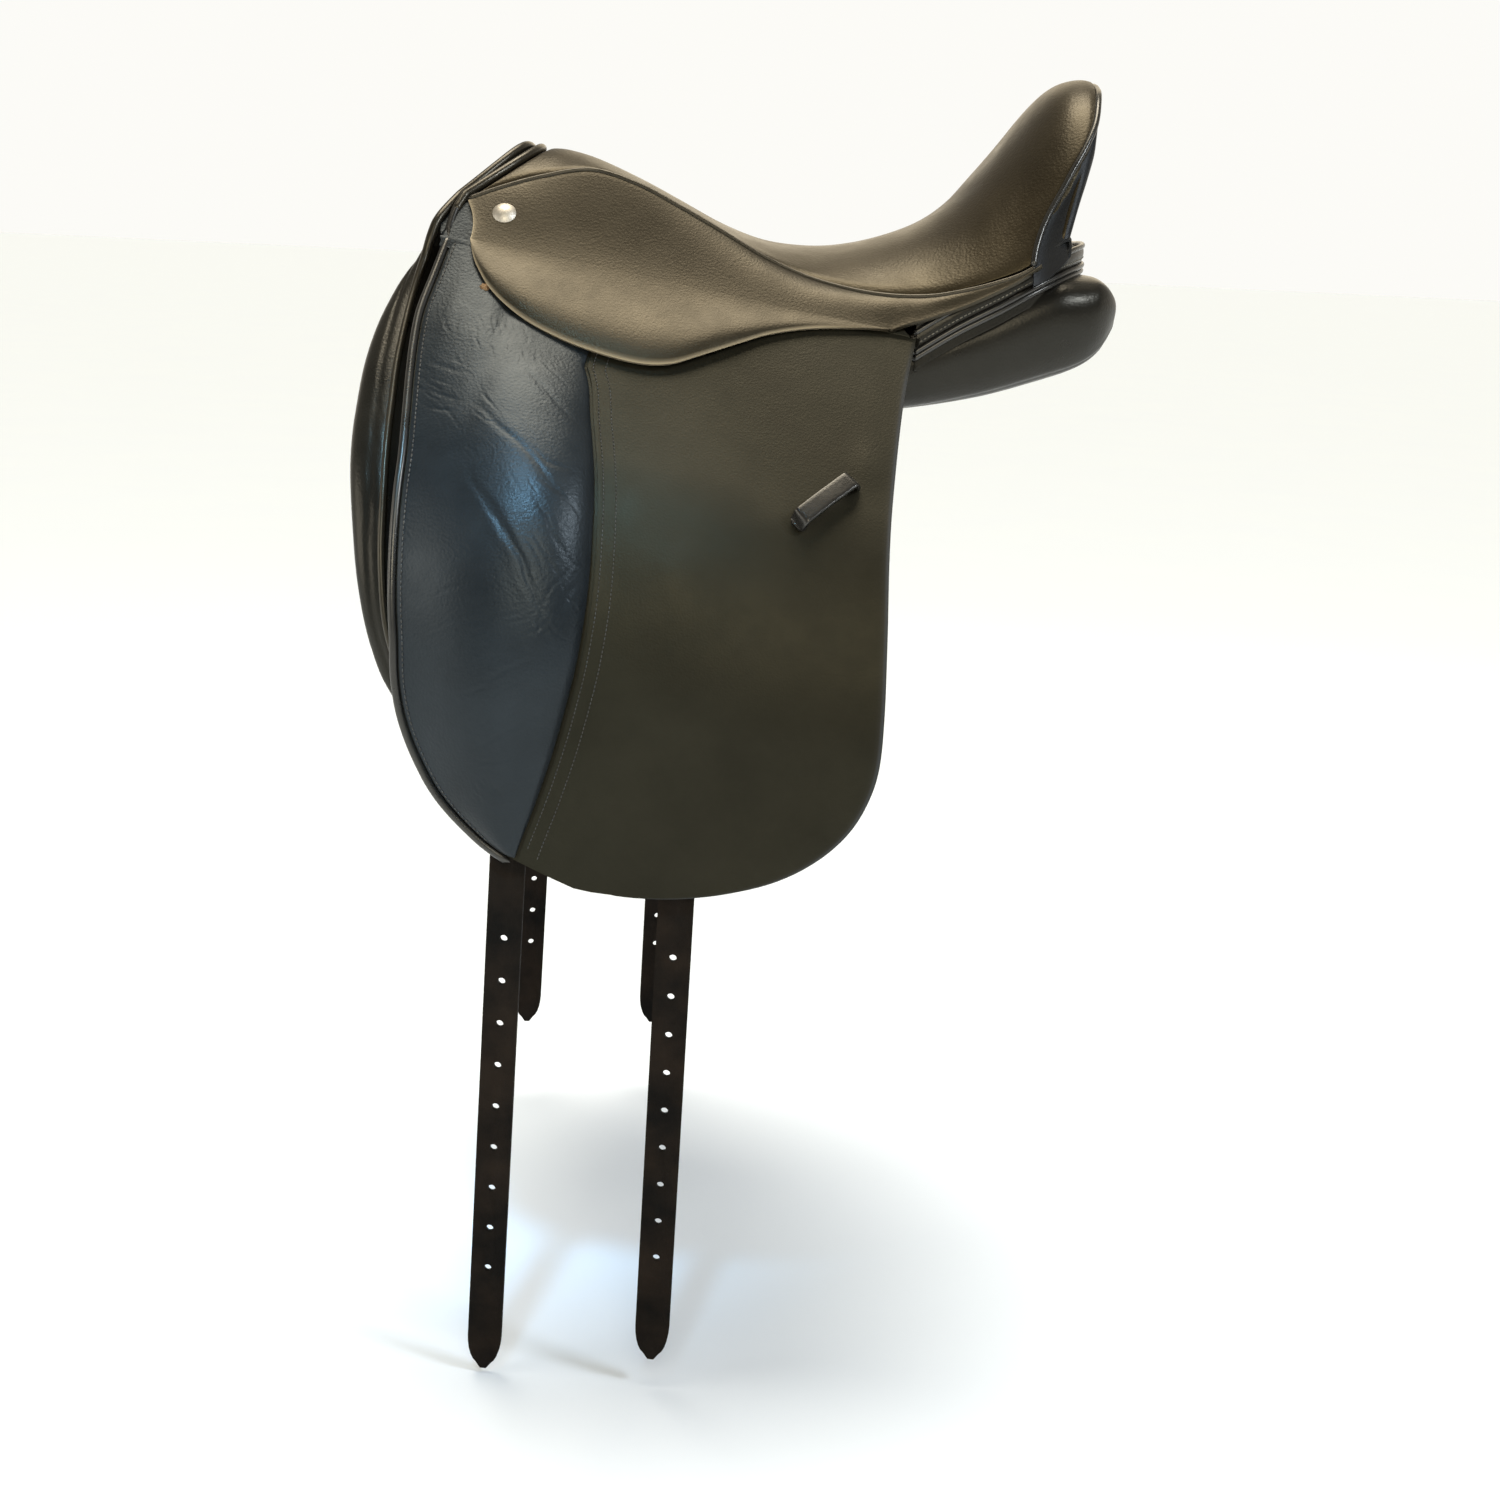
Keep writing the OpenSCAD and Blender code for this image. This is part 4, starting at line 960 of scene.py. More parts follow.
rearArch = headPoint(np.linspace(0.004, 0.98, 60), pommelWelt["rear"], 0)
rearTail = smoothRow(np.array([rearArch[-1], *pommelWelt["rearEnd"]]), np.linspace(0, 2, 41))
rearHalf = np.concatenate([rearArch, rearTail[1:14]])
rearBead = beadPiece("pommelWelts", wholePath(rearHalf, 2), pommelWelt["radius"], (1, 0, 0.3), 16)
settle(rearBead, "root", weltLook, "piping_leather", "pommel_welts")
frontPath = wholePath(frontWeltHalf(), 2.2)
frontBead = taperedBead("pommelFrontWelt", frontPath, pommelWelt["radius"], rollWelt["radius"], 130)
settle(frontBead, "root", weltLook, "piping_leather")
print("welts made")


# skirt: a band above the crease and a lobe that lifts below it

skirtLeather = {
    "columns": 150, "bandRows": 18, "lobeRows": 34, "tailColumns": 50, "lastRow": 14.7, "thick": 3, "edge": 0.9,
    "flare": 6, "curl": 4.5, "fullness": 1.2,
}


def skirtShape(size):        # points of band and lobe, and the lobe's edge mark for an edge colour that is rubbed tone and painted highlight
    last = size["lastRow"]
    fine = np.linspace(0, last, 3000)
    ends = float(np.interp(skirtSpan[1], creaseAt(fine), fine))
    front = np.linspace(0, ends, size["columns"])
    tail = np.linspace(ends, last, size["tailColumns"])[1:]
    w, every = np.meshgrid(np.linspace(0, 1, size["bandRows"]), np.concatenate([front, tail]), indexing="ij")
    full = size["fullness"] * 6.75 * w * (1 - w) ** 2
    full = full * np.clip((last - every) / 4, 0, 1) * np.clip(every / 1.5, 0, 1)
    out = faceOut(bandPoint, np.maximum(every, 0.02), np.clip(w, 0.01, 0.99))
    band = bandPoint(every, w) + out * full[..., None]
    s = creaseAt(front)
    reach = np.maximum(0.4, skirtReach(s))
    q = np.linspace(0, 1, size["lobeRows"])[:, None]
    t = q * reach[None]
    n = (size["flare"] * smooth(q) - size["curl"] * q ** 6) * np.clip(reach / 55, 0, 1)[None] ** 1.2
    lobe = sidePoint(np.broadcast_to(s[None], t.shape), t, n)
    # edge mark along the lobe's lower edge and front end: rubbed tone and painted highlight
    wearAndHighlight = np.clip(reach / 12, 0, 1)[None] * np.clip(1 - (reach[None] - t) / 3, 0, 1)
    frontWearAndHighlight = np.exp(-np.maximum(0, s[None] - skirtSpan[0]) / 2.5)
    return band, lobe, np.maximum(wearAndHighlight, frontWearAndHighlight)


skirtBandShape, skirtLobeShape, skirtWearAndHighlight = skirtShape(skirtLeather)
creaseLine = skirtLobeShape[0] * mirror


def onCrease(point):
    return np.linalg.norm(creaseLine - point, axis=1).min() < 3.6


band = gridPiece("leftSkirtBand", skirtBandShape * mirror, towards=(0, -1, 0.6))
# edge mark at the band's front end: rubbed tone and painted highlight
bandWearAndHighlight = np.exp(-np.arange(skirtBandShape.shape[1]) / 1.2)
setMark(band, "edge", np.broadcast_to(bandWearAndHighlight, skirtBandShape.shape[:2]))
cutLeather(band, skirtLeather["thick"], skirtLeather["edge"], 3, onCrease)
bothSides(band, "root", skirtLook, "skirt_leather", "left_skirt_band")

lobe = gridPiece("leftSkirt", skirtLobeShape * mirror, towards=(0, -1, 0.6))
setMark(lobe, "edge", skirtWearAndHighlight)
cutLeather(lobe, skirtLeather["thick"], skirtLeather["edge"], 3, onCrease)
bothSides(lobe, "left_skirt_body", skirtLook, "skirt_leather", "left_skirt")
print("skirts made")


# flap, its facing behind the knee block, and its piping

flapLeather = {
    "rows": 120, "columns": 110, "out": -4.6, "thick": 3.3, "notch": (42, 188, 48), "edge": 0.9, "round": 60,
    "bulges": [(315, 114, 1.0, 13), (255, 177, 1.0, 11), (200, 224, 1.1, 13)],        # along, down, height, width
}
flapFacing = {"rows": 130, "columns": 90, "out": -3.6, "thick": 1.1, "gap": 1.6, "edge": 0.5}
flapPiping = {"radius": 3.0, "off": 3.2, "mid": -5.8}


def flapWave(s, t):        # slow unevenness of the hide, with a few pressed bulges
    wave = 0.5 * np.sin(s / 47 + 0.6) * np.sin(t / 61 + 1.1) + 0.3 * np.sin(s / 29 - t / 37)
    for a, b, high, wide in flapLeather["bulges"]:
        wave = wave + high * np.exp(-((s - a) ** 2 + (t - b) ** 2) / (2 * wide ** 2))
    return wave


def buildFlap(size):
    a, b, deep = size["notch"]
    sides = [(x + 11.3) / 331.7 for x in (a, b)]        # columns at the sides of the notch
    xs = np.sort(np.concatenate([np.linspace(0, 1, size["columns"]), sides]))[None]
    low = flapLength - size["round"]
    foot = low + size["round"] * np.sin(math.pi / 2 * np.linspace(0, 1, 30))[1:]
    ts = np.concatenate([np.linspace(0, deep, 14), np.linspace(deep, low, size["rows"])[1:], foot])[:, None]
    front, rear = edgeAt(flapFront, ts), edgeAt(flapRear, ts)
    s = front + (rear - front) * xs
    t = np.broadcast_to(ts, s.shape)
    inset = np.minimum(np.minimum(s - front, rear - s), flapLength - t)
    behind = np.clip((s - blockBack(t)) / 10, 0, 1)
    n = size["out"] + flapWave(s, t) * np.clip(inset / 20, 0, 1) * np.clip(t / 60, 0, 1) * behind
    piece = gridPiece("leftFlap", sidePoint(s, t, n) * mirror, towards=(0, -1, 0.3))
    # edge mark along the rear edge, for the edge colour that paints a highlight on the cut edge
    setMark(piece, "edge", np.exp(-np.maximum(0, rear - s) / 1.5) * np.clip(t / 40, 0, 1))

    def inNotch(middles):
        m = middles * mirror - creaseFront
        across, below = m @ alongCrease, m @ creaseDown
        return (across > a - 0.6) & (across < b + 0.6) & (below < deep - 0.2)

    cutFaces(piece, inNotch)
    return cutLeather(piece, size["thick"], size["edge"], 3)


def facingSwell(far):        # the facing rises a little beside the block's groove
    return 0.5 * np.exp(-(far / 3.5) ** 2)


def buildFacing(size):
    xs = np.linspace(0, 1, size["columns"])[None]
    foot = 0.86 + 0.14 * np.sin(math.pi / 2 * np.linspace(0, 1, 28))[1:]
    y = np.concatenate([np.linspace(0, 0.86, size["rows"]), foot])[:, None]
    level = 60 + 386.4 * y
    s0 = 106 + 213 * xs
    head = np.maximum(4, skirtReach(s0) - 12)
    head = np.where(s0 < 189, np.maximum(head, 50), head)
    t = level - (60 - head) * smooth(1 - y / 0.16)
    groove = blockBack(t) + size["gap"]
    rear = edgeAt(flapRear, t) - 0.9
    front = np.maximum(groove, edgeAt(flapFront, np.clip(t, 0, flapLength)) + 3)
    s = front + (rear - front) * xs
    inset = np.minimum(np.minimum(s - front, rear - s), flapLength - 1 - t)
    n = size["out"] + flapWave(s, t) * np.clip(inset / 20, 0, 1) * np.clip(t / 60, 0, 1) + facingSwell(s - groove)
    piece = gridPiece("leftFlapFacing", sidePoint(s, t, n) * mirror, towards=(0, -1, 0.3))
    # edge mark along the rear edge, for the edge colour that paints a highlight on the cut edge
    setMark(piece, "edge", np.exp(-np.maximum(0, rear - s) / 1.2) * np.clip(t / 40, 0, 1))
    return cutLeather(piece, size["thick"], size["edge"])


bothSides(buildFlap(flapLeather), "left_flap_body", flapLook, "flap_leather", "left_flap")
bothSides(buildFacing(flapFacing), "left_flap_body", flapLook, "flap_leather")


def pipingPath(ts):
    slope = edgeAt(flapFront, ts + 1) - edgeAt(flapFront, ts)
    step = unit(np.stack([np.ones_like(ts), slope], -1)) * flapPiping["off"]
    return sidePoint(edgeAt(flapFront, ts) - step[:, 0], ts + step[:, 1], flapPiping["mid"])


pipingRows = np.concatenate([np.linspace(-1, 380, 150), np.linspace(380, 437, 50)[1:]])
flapBead = beadPiece("leftPiping", pipingPath(pipingRows) * mirror, flapPiping["radius"], (0, 1, 0.2), 16)
bothSides(flapBead, "left_flap_body", pipingLook, "piping_leather", "left_piping")
print("flaps made")


# knee block: a soft pad with creases worn into it

kneeBlock = {
    "rows": 96, "top": 44, "under": 14, "base": -4.5, "leather": 1.3, "high": 27, "inset": 0.3, "lag": 1.4,
    "creaseDepth": 0.36, "pressure": 4, "cap": 3.5, "fill": 0.7,
    "creases": [        # depth, width, then points along and down
        (0.7, 1.6, [(63, 102), (87, 118), (109, 136), (123, 146)]),
        (0.9, 1.8, [(40, 138), (57, 151), (79, 166), (100, 181), (118, 195), (137, 208)]),
        (0.6, 1.5, [(86, 166), (103, 176), (125, 178)]),
        (1.2, 2.0, [(48, 185), (65, 202), (84, 219), (101, 237), (118, 259), (132, 283), (138, 295)]),
        (0.8, 1.6, [(52, 192), (69, 209), (88, 226), (105, 244), (121, 266)]),
        (0.6, 1.6, [(94, 195), (112, 211), (126, 228), (136, 239)]),
        (0.7, 1.6, [(144, 243), (135, 262), (131, 276)]),
        (0.5, 1.4, [(1, 107), (31, 119)]), (0.5, 1.4, [(6, 130), (37, 142)]), (0.4, 1.3, [(11, 146), (35, 151)]),
        (0.4, 1.3, [(62, 289), (99, 276)]), (0.45, 1.3, [(80, 332), (108, 313)]), (0.5, 1.4, [(87, 373), (139, 325)]),
        (0.45, 1.3, [(83, 324), (129, 294)]), (0.8, 3.0, [(104, 379), (122, 392)]),
    ],
}


def awayFrom(s, t, line):        # distance from a line, and place along it from 0 to 1
    line = resample(np.array(line, float), 4)
    near = np.full(s.shape, 1e9)
    at = np.zeros(s.shape)
    for k in range(len(line) - 1):
        a, d = line[k], line[k + 1] - line[k]
        p = np.clip(((s - a[0]) * d[0] + (t - a[1]) * d[1]) / (d @ d), 0, 1)
        far = np.hypot(s - a[0] - p * d[0], t - a[1] - p * d[1])
        closer = far < near
        near = np.where(closer, far, near)
        at = np.where(closer, (k + p) / (len(line) - 1), at)
    return near, at


wrinkleSets = [        # count, middle along and down, spread, degrees and their scatter, length, depth
    (26, (42, 80), (17, 15), (74, 14), (10, 26), 0.32), (12, (16, 122), (11, 26), (18, 12), (9, 20), 0.26),
    (20, (112, 214), (22, 26), (48, 9), (14, 38), 0.24), (12, (134, 258), (9, 17), (112, 10), (9, 22), 0.3),
    (10, (134, 258), (9, 17), (40, 10), (9, 20), 0.3), (16, (100, 322), (24, 34), (-34, 9), (16, 40), 0.2),
    (10, (113, 386), (7, 6), (44, 20), (6, 14), 0.3), (18, (80, 150), (28, 26), (40, 8), (16, 44), 0.2),
]


def wornLines():        # fine lines scattered where the leather folds
    scatter = np.random.default_rng(11)
    lines = []
    for count, middle, spread, turn, length, deep in wrinkleSets:
        for k in range(count):
            a = np.radians(scatter.normal(*turn))
            here = np.array(middle) + scatter.normal(size=2) * np.array(spread)
            half = scatter.uniform(*length) / 2
            step = np.array([np.cos(a), np.sin(a)]) * half
            bow = np.array([-step[1], step[0]]) * scatter.normal() * 0.16
            depth, wide = deep * scatter.uniform(0.25, 0.75), scatter.uniform(0.6, 1.0)
            lines.append((depth, wide, [here - step, here - step * 0.4 + bow, here + step * 0.4 + bow, here + step]))
    return lines


def blockHead(s):        # upper edge of the cover, out of sight under the skirt
    head = np.maximum(0.3, skirtReach(s) - 9)
    return np.maximum(head, 50 * smooth((s - 8) / 40))


def blockCrown(s, t):        # height of the filling above the flap
    front, rear = edgeAt(flapFront, t) + kneeBlock["inset"], blockBack(t)
    x = np.clip((s - front) / np.maximum(rear - front, 1), 0, 1) ** kneeBlock["lag"]
    steep = np.clip((t - 76) / 40, 0, 1)
    across = np.clip(4 * x * (1 - x), 0, 1) ** np.where(x < 0.5, 0.85, 0.85 - 0.38 * steep)
    head = blockHead(s)
    y = np.clip((t - head) / (blockSpan[1] - head), 0, 1)
    down = np.clip(np.sin(math.pi * y), 0, 1) ** np.where(y < 0.5, 0.85, 0.66)
    return kneeBlock["high"] * across * down


def coverTop(s, t):        # outer face of the block's leather
    return kneeBlock["base"] + kneeBlock["leather"] + blockCrown(s, t) * 0.92


def buildBlock(size):
    foot = 0.84 + 0.16 * np.sin(math.pi / 2 * np.linspace(0, 1, 26))[1:]
    y = np.concatenate([np.linspace(0, 0.84, size["rows"]), foot])[:, None]
    level = 64 + 371.5 * y
    x = (0.5 - 0.5 * np.cos(math.pi * np.linspace(0, 1, size["top"])))[None]

    def place(x):
        t = level - (64 - blockHead(-11 + 115 * x)) * smooth(1 - y / 0.2)
        front, rear = edgeAt(flapFront, t) + size["inset"], blockBack(t) - 0.5
        rear = np.maximum(rear, front + 0.4)
        return front + (rear - front) * x, t

    s, t = place(x)
    edge = np.clip(np.minimum(np.minimum(x, 1 - x) * 90, (1 - y) * 380) / 1.6, 0, 1) ** 0.5
    crown = blockCrown(s, t)
    n = size["base"] + 0.3 + 1.0 * edge + crown * (1 - 0.08 * (crown > 0))
    s2, t2 = place(np.linspace(1, 0, size["under"] + 2)[None, 1:-1])
    rings = np.concatenate([sidePoint(s, t, n), sidePoint(s2, t2, size["base"])], 1) * mirror
    piece = closedPiece("leftKneeBlock", rings)
    marks = {"alongSide": (s, s2), "downSide": (t, t2), "crown": (crown, 0 * s2), "upper": (edge, 0 * s2)}
    for name, (above, below) in marks.items():
        setMark(piece, name, np.concatenate([above, below, above[:, :1]], 1))
    sealPiece(piece)
    swell(piece, getMark(piece, "crown") < 4, size["pressure"], size["cap"])
    refine(piece, 2)
    s, t, crown, upper = (getMark(piece, name) for name in marks)
    onTop = np.clip((upper - 0.3) / 0.5, 0, 1)
    dent = np.zeros_like(s)
    s1 = s + 0.9 * np.sin(t / 5.3 + s / 31) + 0.4 * np.sin(t / 2.3 - s / 17)
    t1 = t + 0.7 * np.sin(s / 6.1 - t / 29)
    creases = [(deep * size["creaseDepth"], wide, line) for deep, wide, line in size["creases"]]
    for deep, wide, line in creases + wornLines():        # a valley with a low swell on both sides
        far, at = awayFrom(s1, t1, line)
        fade = np.clip(np.minimum(at, 1 - at) / 0.35, 0.0, 1)
        beside = 0.35 * np.exp(-((far - 2.8 * wide) / (1.8 * wide)) ** 2)
        dent = dent + deep * fade * (beside - np.exp(-(far / wide) ** 2))
    slow = 0.6 * np.sin(s / 21 + t / 34) * np.sin(t / 43 - 0.5) + 0.35 * np.sin(s / 13 - t / 27 + 1)
    slow = slow * np.clip(crown / 14, 0, 1)
    setPoints(piece, getPoints(piece) + getNormals(piece) * ((dent + slow) * onTop)[:, None])
    smoothShade(piece, 60)
    return piece


blockNodes = ("left_block_cover", "left_block_foam")
for block in bothSides(buildBlock(kneeBlock), "left_flap_body", blockLook, "block_leather", *blockNodes):
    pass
print("knee blocks made")


# panels and front rolls

panelPad = {
    "rows": 90, "around": 44, "channel": 36, "square": 0.8, "grow": -1.2, "plump": 6, "plumpWay": (0.15, 0.5, 0.85),
    "seamTurn": -42, "seamDeep": 1.3, "seamWide": 2.2, "pressure": 4, "cap": 2.5, "fill": 0.8,
    "keys": [        # x, middle y and z, half width, half depth, tilt
        [-226, 61, 70, 22, 8, 42], [-218, 61, 66, 29, 15, 42], [-195, 62, 57, 34, 20, 40], [-150, 67, 40, 36, 21, 37],
        [-100, 72, 34, 40, 24, 32], [-50, 77, 31, 43, 28, 28], [0, 80, 31, 45, 30, 26], [60, 81, 35, 45, 31, 24],
        [120, 80, 49, 44, 37, 20], [165, 78, 61, 41, 37, 17], [192, 76, 66, 36, 32, 15], [208, 75, 70, 28, 25, 13],
        [217, 75, 73, 16, 14, 12], [219.5, 75, 74, 6, 5, 12],
    ],
}


def around(count):        # angles round a section
    return (np.arange(count) + 0.5) * 2 * math.pi / count


def power(x, p):
    return np.sign(x) * np.abs(x) ** p


def panelRing(u, turn):        # a rounded box, tilted to the horse's back
    k = smoothRow(panelPad["keys"], u)
    c, s = np.cos(np.radians(k[..., 5])), np.sin(np.radians(k[..., 5]))
    y = np.maximum(k[..., 1], panelPad["channel"] + k[..., 3] * c)
    p = (k[..., 3] + panelPad["grow"]) * power(np.cos(turn), panelPad["square"])
    q = (k[..., 4] + panelPad["grow"]) * power(np.sin(turn), panelPad["square"])
    return np.stack(np.broadcast_arrays(k[..., 0], y + p * c + q * s, k[..., 2] - p * s + q * c), -1)


def buildPanel(size):
    keys = np.linspace(0, len(size["keys"]) - 1, size["rows"])
    rows, turn = np.meshgrid(keys, around(size["around"]), indexing="ij")
    rings = panelRing(rows, turn)
    plump = np.clip((rings[..., 0] - 120) / 50, 0, 1) * np.clip((222 - rings[..., 0]) / 20, 0, 1)
    plump = size["plump"] * plump * np.clip(np.cos(turn - 0.9), 0, 1) ** 2
    piece = closedPiece("leftPanel", (rings + plump[..., None] * np.array(size["plumpWay"])) * mirror)
    marks = {"row": rows, "turnCos": np.cos(turn), "turnSin": np.sin(turn)}
    for name, values in marks.items():
        setMark(piece, name, np.concatenate([values, values[:, :1]], 1))
    sealPiece(piece)
    swell(piece, getMark(piece, "turnSin") > 0.75, size["pressure"], size["cap"])
    refine(piece, 1)
    row, turnCos, turnSin = (getMark(piece, name) for name in marks)
    turn = np.degrees(np.arctan2(turnSin, turnCos))
    far = (turn - size["seamTurn"]) * 0.75        # three quarters of a millimetre for each degree
    dent = -size["seamDeep"] * np.exp(-(far / size["seamWide"]) ** 2) + 0.5 * np.exp(-((far - 6) / 5) ** 2)
    slow = 0.5 * np.sin(row * 2.1 + turn / 40) * np.cos(turn / 57)
    setPoints(piece, getPoints(piece) + getNormals(piece) * (dent * np.clip(row / 0.6, 0, 1) + slow)[:, None])
    smoothShade(piece, 60)
    return piece


for panel in bothSides(buildPanel(panelPad), "root", panelLook, "panel_leather", "left_panel"):
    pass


def buildRoll(size):
    ts = np.concatenate([[-26, -25, -23], np.linspace(-20, 350, size["rows"]), [353, 356, 358, 359]])[:, None]
    a, b = edgeAt(size["front"], ts), edgeAt(size["rear"], ts)
    full = np.clip(np.sin(math.pi * (ts + 29) / 391), 0.02, 1) ** 0.4
    turn = around(size["around"])[None]
    s = a + (b - a) * (0.5 + 0.5 * power(np.cos(turn), 0.7))
    n = size["mid"] + rollRise(ts) + (size["depth"] / 2 - 0.6) * full * power(np.sin(turn), 0.8)
    t = np.broadcast_to(ts, s.shape)
    piece = closedPiece("leftFrontRoll", sidePoint(s, t, n) * mirror, np.stack([s, t], -1))
    setMark(piece, "turnSin", np.sin(np.concatenate([turn, turn[:, :1]], 1)) + 0 * ts)
    sealPiece(piece)
    swell(piece, getMark(piece, "turnSin") < -0.6, size["pressure"], size["cap"])
    refine(piece, 1)
    s, t, top = (getMark(piece, k) for k in ("alongSide", "downSide", "turnSin"))
    crest = edgeAt(size["crest"], np.clip(t, -26, 359))
    drop = size["groove"] * smooth((s - crest + 2) / 8) * np.clip(top / 0.5, 0, 1)
    seam = 0.9 * np.exp(-((s - crest + 11) / 1.3) ** 2) * np.clip(top / 0.3, 0, 1)
    out = sideOut(t) * mirror
    setPoints(piece, getPoints(piece) - out * drop[:, None] - getNormals(piece) * seam[:, None])
    smoothShade(piece, 60)
    return piece


for roll in bothSides(buildRoll(frontRoll), "root", panelLook, "panel_leather", "left_front_roll"):
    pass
print("panels and rolls made")


# facings and the back of the cantle

rearFacing = {
    "columns": 180, "rows": 22, "low": -0.75, "top": 0.82, "thick": 2.5, "edge": 0.6, "bulge": 2.6, "seamAt": 0.34,
    "welt": 2.0, "welts": [("facingTopWelt", 0.82, 2.4), ("facingLowWelt", 0.02, 3.0), ("facingPanelWelt", -0.22, 2.6)],
}
cantleLeather = {
    "sideRows": 14, "backRows": 24, "columns": 150, "thick": 1.6, "first": 0.8, "tuck": 3.4, "soften": 14,
    "ledge": [[0, 36, 72, 100, 117, 124], [7, 6, 5, 4, 3, 2]],        # across, and place on the facing
}
pommelLeather = {"rows": 20, "columns": 60, "thick": 2.5, "edge": 0.8}


def facingOut(u):        # level, away from the saddle
    d = facingPoint(u + 0.02, 0) - facingPoint(u - 0.02, 0)
    return unit(np.stack([-d[..., 1], d[..., 0], 0 * d[..., 0]], -1))


def facingRise(w):        # height of the padded facing
    return rearFacing["thick"] / 2 + rearFacing["bulge"] * np.sin(math.pi * np.clip(w, 0, 1))


facingU = np.linspace(-0.8, 14.8, rearFacing["columns"])
facingSpan = np.linspace(rearFacing["low"], rearFacing["top"], rearFacing["rows"])[:, None]
facingEnds = np.clip(2 - (facingMid - np.abs(facingMid - facingU[None])), 0, 1)        # higher at its front ends
facingSpan = facingSpan * (1 + 0.4 * facingEnds * (facingSpan > 0))
facingShape = facingPoint(facingU[None], facingSpan) + facingOut(facingU)[None] * facingRise(facingSpan)[..., None]
facing = gridPiece("rearFacing", facingShape, towards=(1, 0, 0))
cutLeather(facing, rearFacing["thick"], rearFacing["edge"])
settle(facing, "root", panelLook, "panel_leather", "rear_facing")
for name, level, lift in rearFacing["welts"]:
    path = facingPoint(facingU, level) + facingOut(facingU) * lift
    settle(beadPiece(name, path, rearFacing["welt"], (0, 0, 1), 12), "root", pipingLook, "piping_leather")


def cantleShape(size):        # strips from the rim piping over the side, down the back and out to the facing
    v = np.linspace(-1.05, 1.05, size["columns"])[None]
    start = edgeAt(rimCurve, np.minimum(np.abs(v), 1))
    end = np.maximum(seatEnd(v), start)
    u = start + (end - start) * np.linspace(0, 1, size["sideRows"])[:, None]
    v2 = np.broadcast_to(v, u.shape)
    inside = size["first"] + size["tuck"] * (1 - np.clip((end - start) * 2, 0, 1)) + sideDish(u, v2)
    side = seatPoint(u, v2) - faceOut(seatPoint, np.minimum(u, nearLast), v2) * inside[..., None]
    back = backPoint(np.linspace(0.03, 1, size["backRows"])[:, None], v) + np.array([0.8, 0, 0])
    away = np.interp(np.abs(v) * 116, *size["ledge"])
    ledge = facingPoint(np.where(v > 0, away, 2 * facingMid - away), 0.68)
    last = back[-1:]
    down = last + (ledge - last) * np.linspace(0.15, 1, 6)[:, None, None]
    strip = np.concatenate([side, back, down])
    for turn in range(size["soften"]):
        strip[1:-1] = strip[1:-1] * 0.5 + (strip[2:] + strip[:-2]) * 0.25
    return strip


cantle = gridPiece("cantleBack", cantleShape(cantleLeather), towards=(1, 0, 0.1))
cutLeather(cantle, cantleLeather["thick"], shade=60)
settle(cantle, "root", backLook, "seat_leather", "cantle_back")

pommelDown = np.linspace(0, 1, pommelLeather["rows"])[:, None]
pommelAcross = np.linspace(-1, 1, pommelLeather["columns"])[None]
pommelShape = pommelPoint(pommelDown, pommelAcross) + np.array([-1.2, 0, 0])
pommel = gridPiece("pommelFacing", pommelShape, towards=(-1, 0, 0))
cutLeather(pommel, pommelLeather["thick"], pommelLeather["edge"])
settle(pommel, "root", panelLook, "panel_leather", "pommel_facing")


# gusset between the front welt, the pommel's facing and the roll

frontGusset = {
    "from": 46, "to": 118, "rows": 50, "columns": 10, "thick": 2,
    "inner": [(-21, -10, -24), (-22, 20, -32), (-20, 60, -33)],        # along, down and out
}


def buildGusset(size):
    outer = frontWeltHalf()[size["from"]:size["to"]]
    outer = smoothRow(outer, np.linspace(0, len(outer) - 1, size["rows"]))
    keys = [pommelPoint(0.1, 0.76), pommelPoint(0.5, 0.92), pommelPoint(1, 1)]
    keys = np.array(keys + [sidePoint(*k) for k in size["inner"]])
    inner = smoothRow(keys, np.linspace(0, len(keys) - 1, size["rows"]))
    x = np.linspace(0, 1, size["columns"])[None, :, None]
    shape = outer[:, None] * (1 - x) + inner[:, None] * x
    return cutLeather(gridPiece("leftFrontGusset", shape * mirror, towards=(-1, -0.3, 0)), size["thick"])


bothSides(buildGusset(frontGusset), "root", panelLook, "panel_leather")
print("facings made")


# corner of the flap that shows between the skirt and the rear pommel welt

flapCorner = {
    "rows": 40, "lapRows": 12, "columns": 18, "thick": 2.0, "under": 3.0, "rear": 12, "lap": 9, "tongue": 10, "sink": 4,
    "bend": (-4, 6), "piping": 2.9,
}


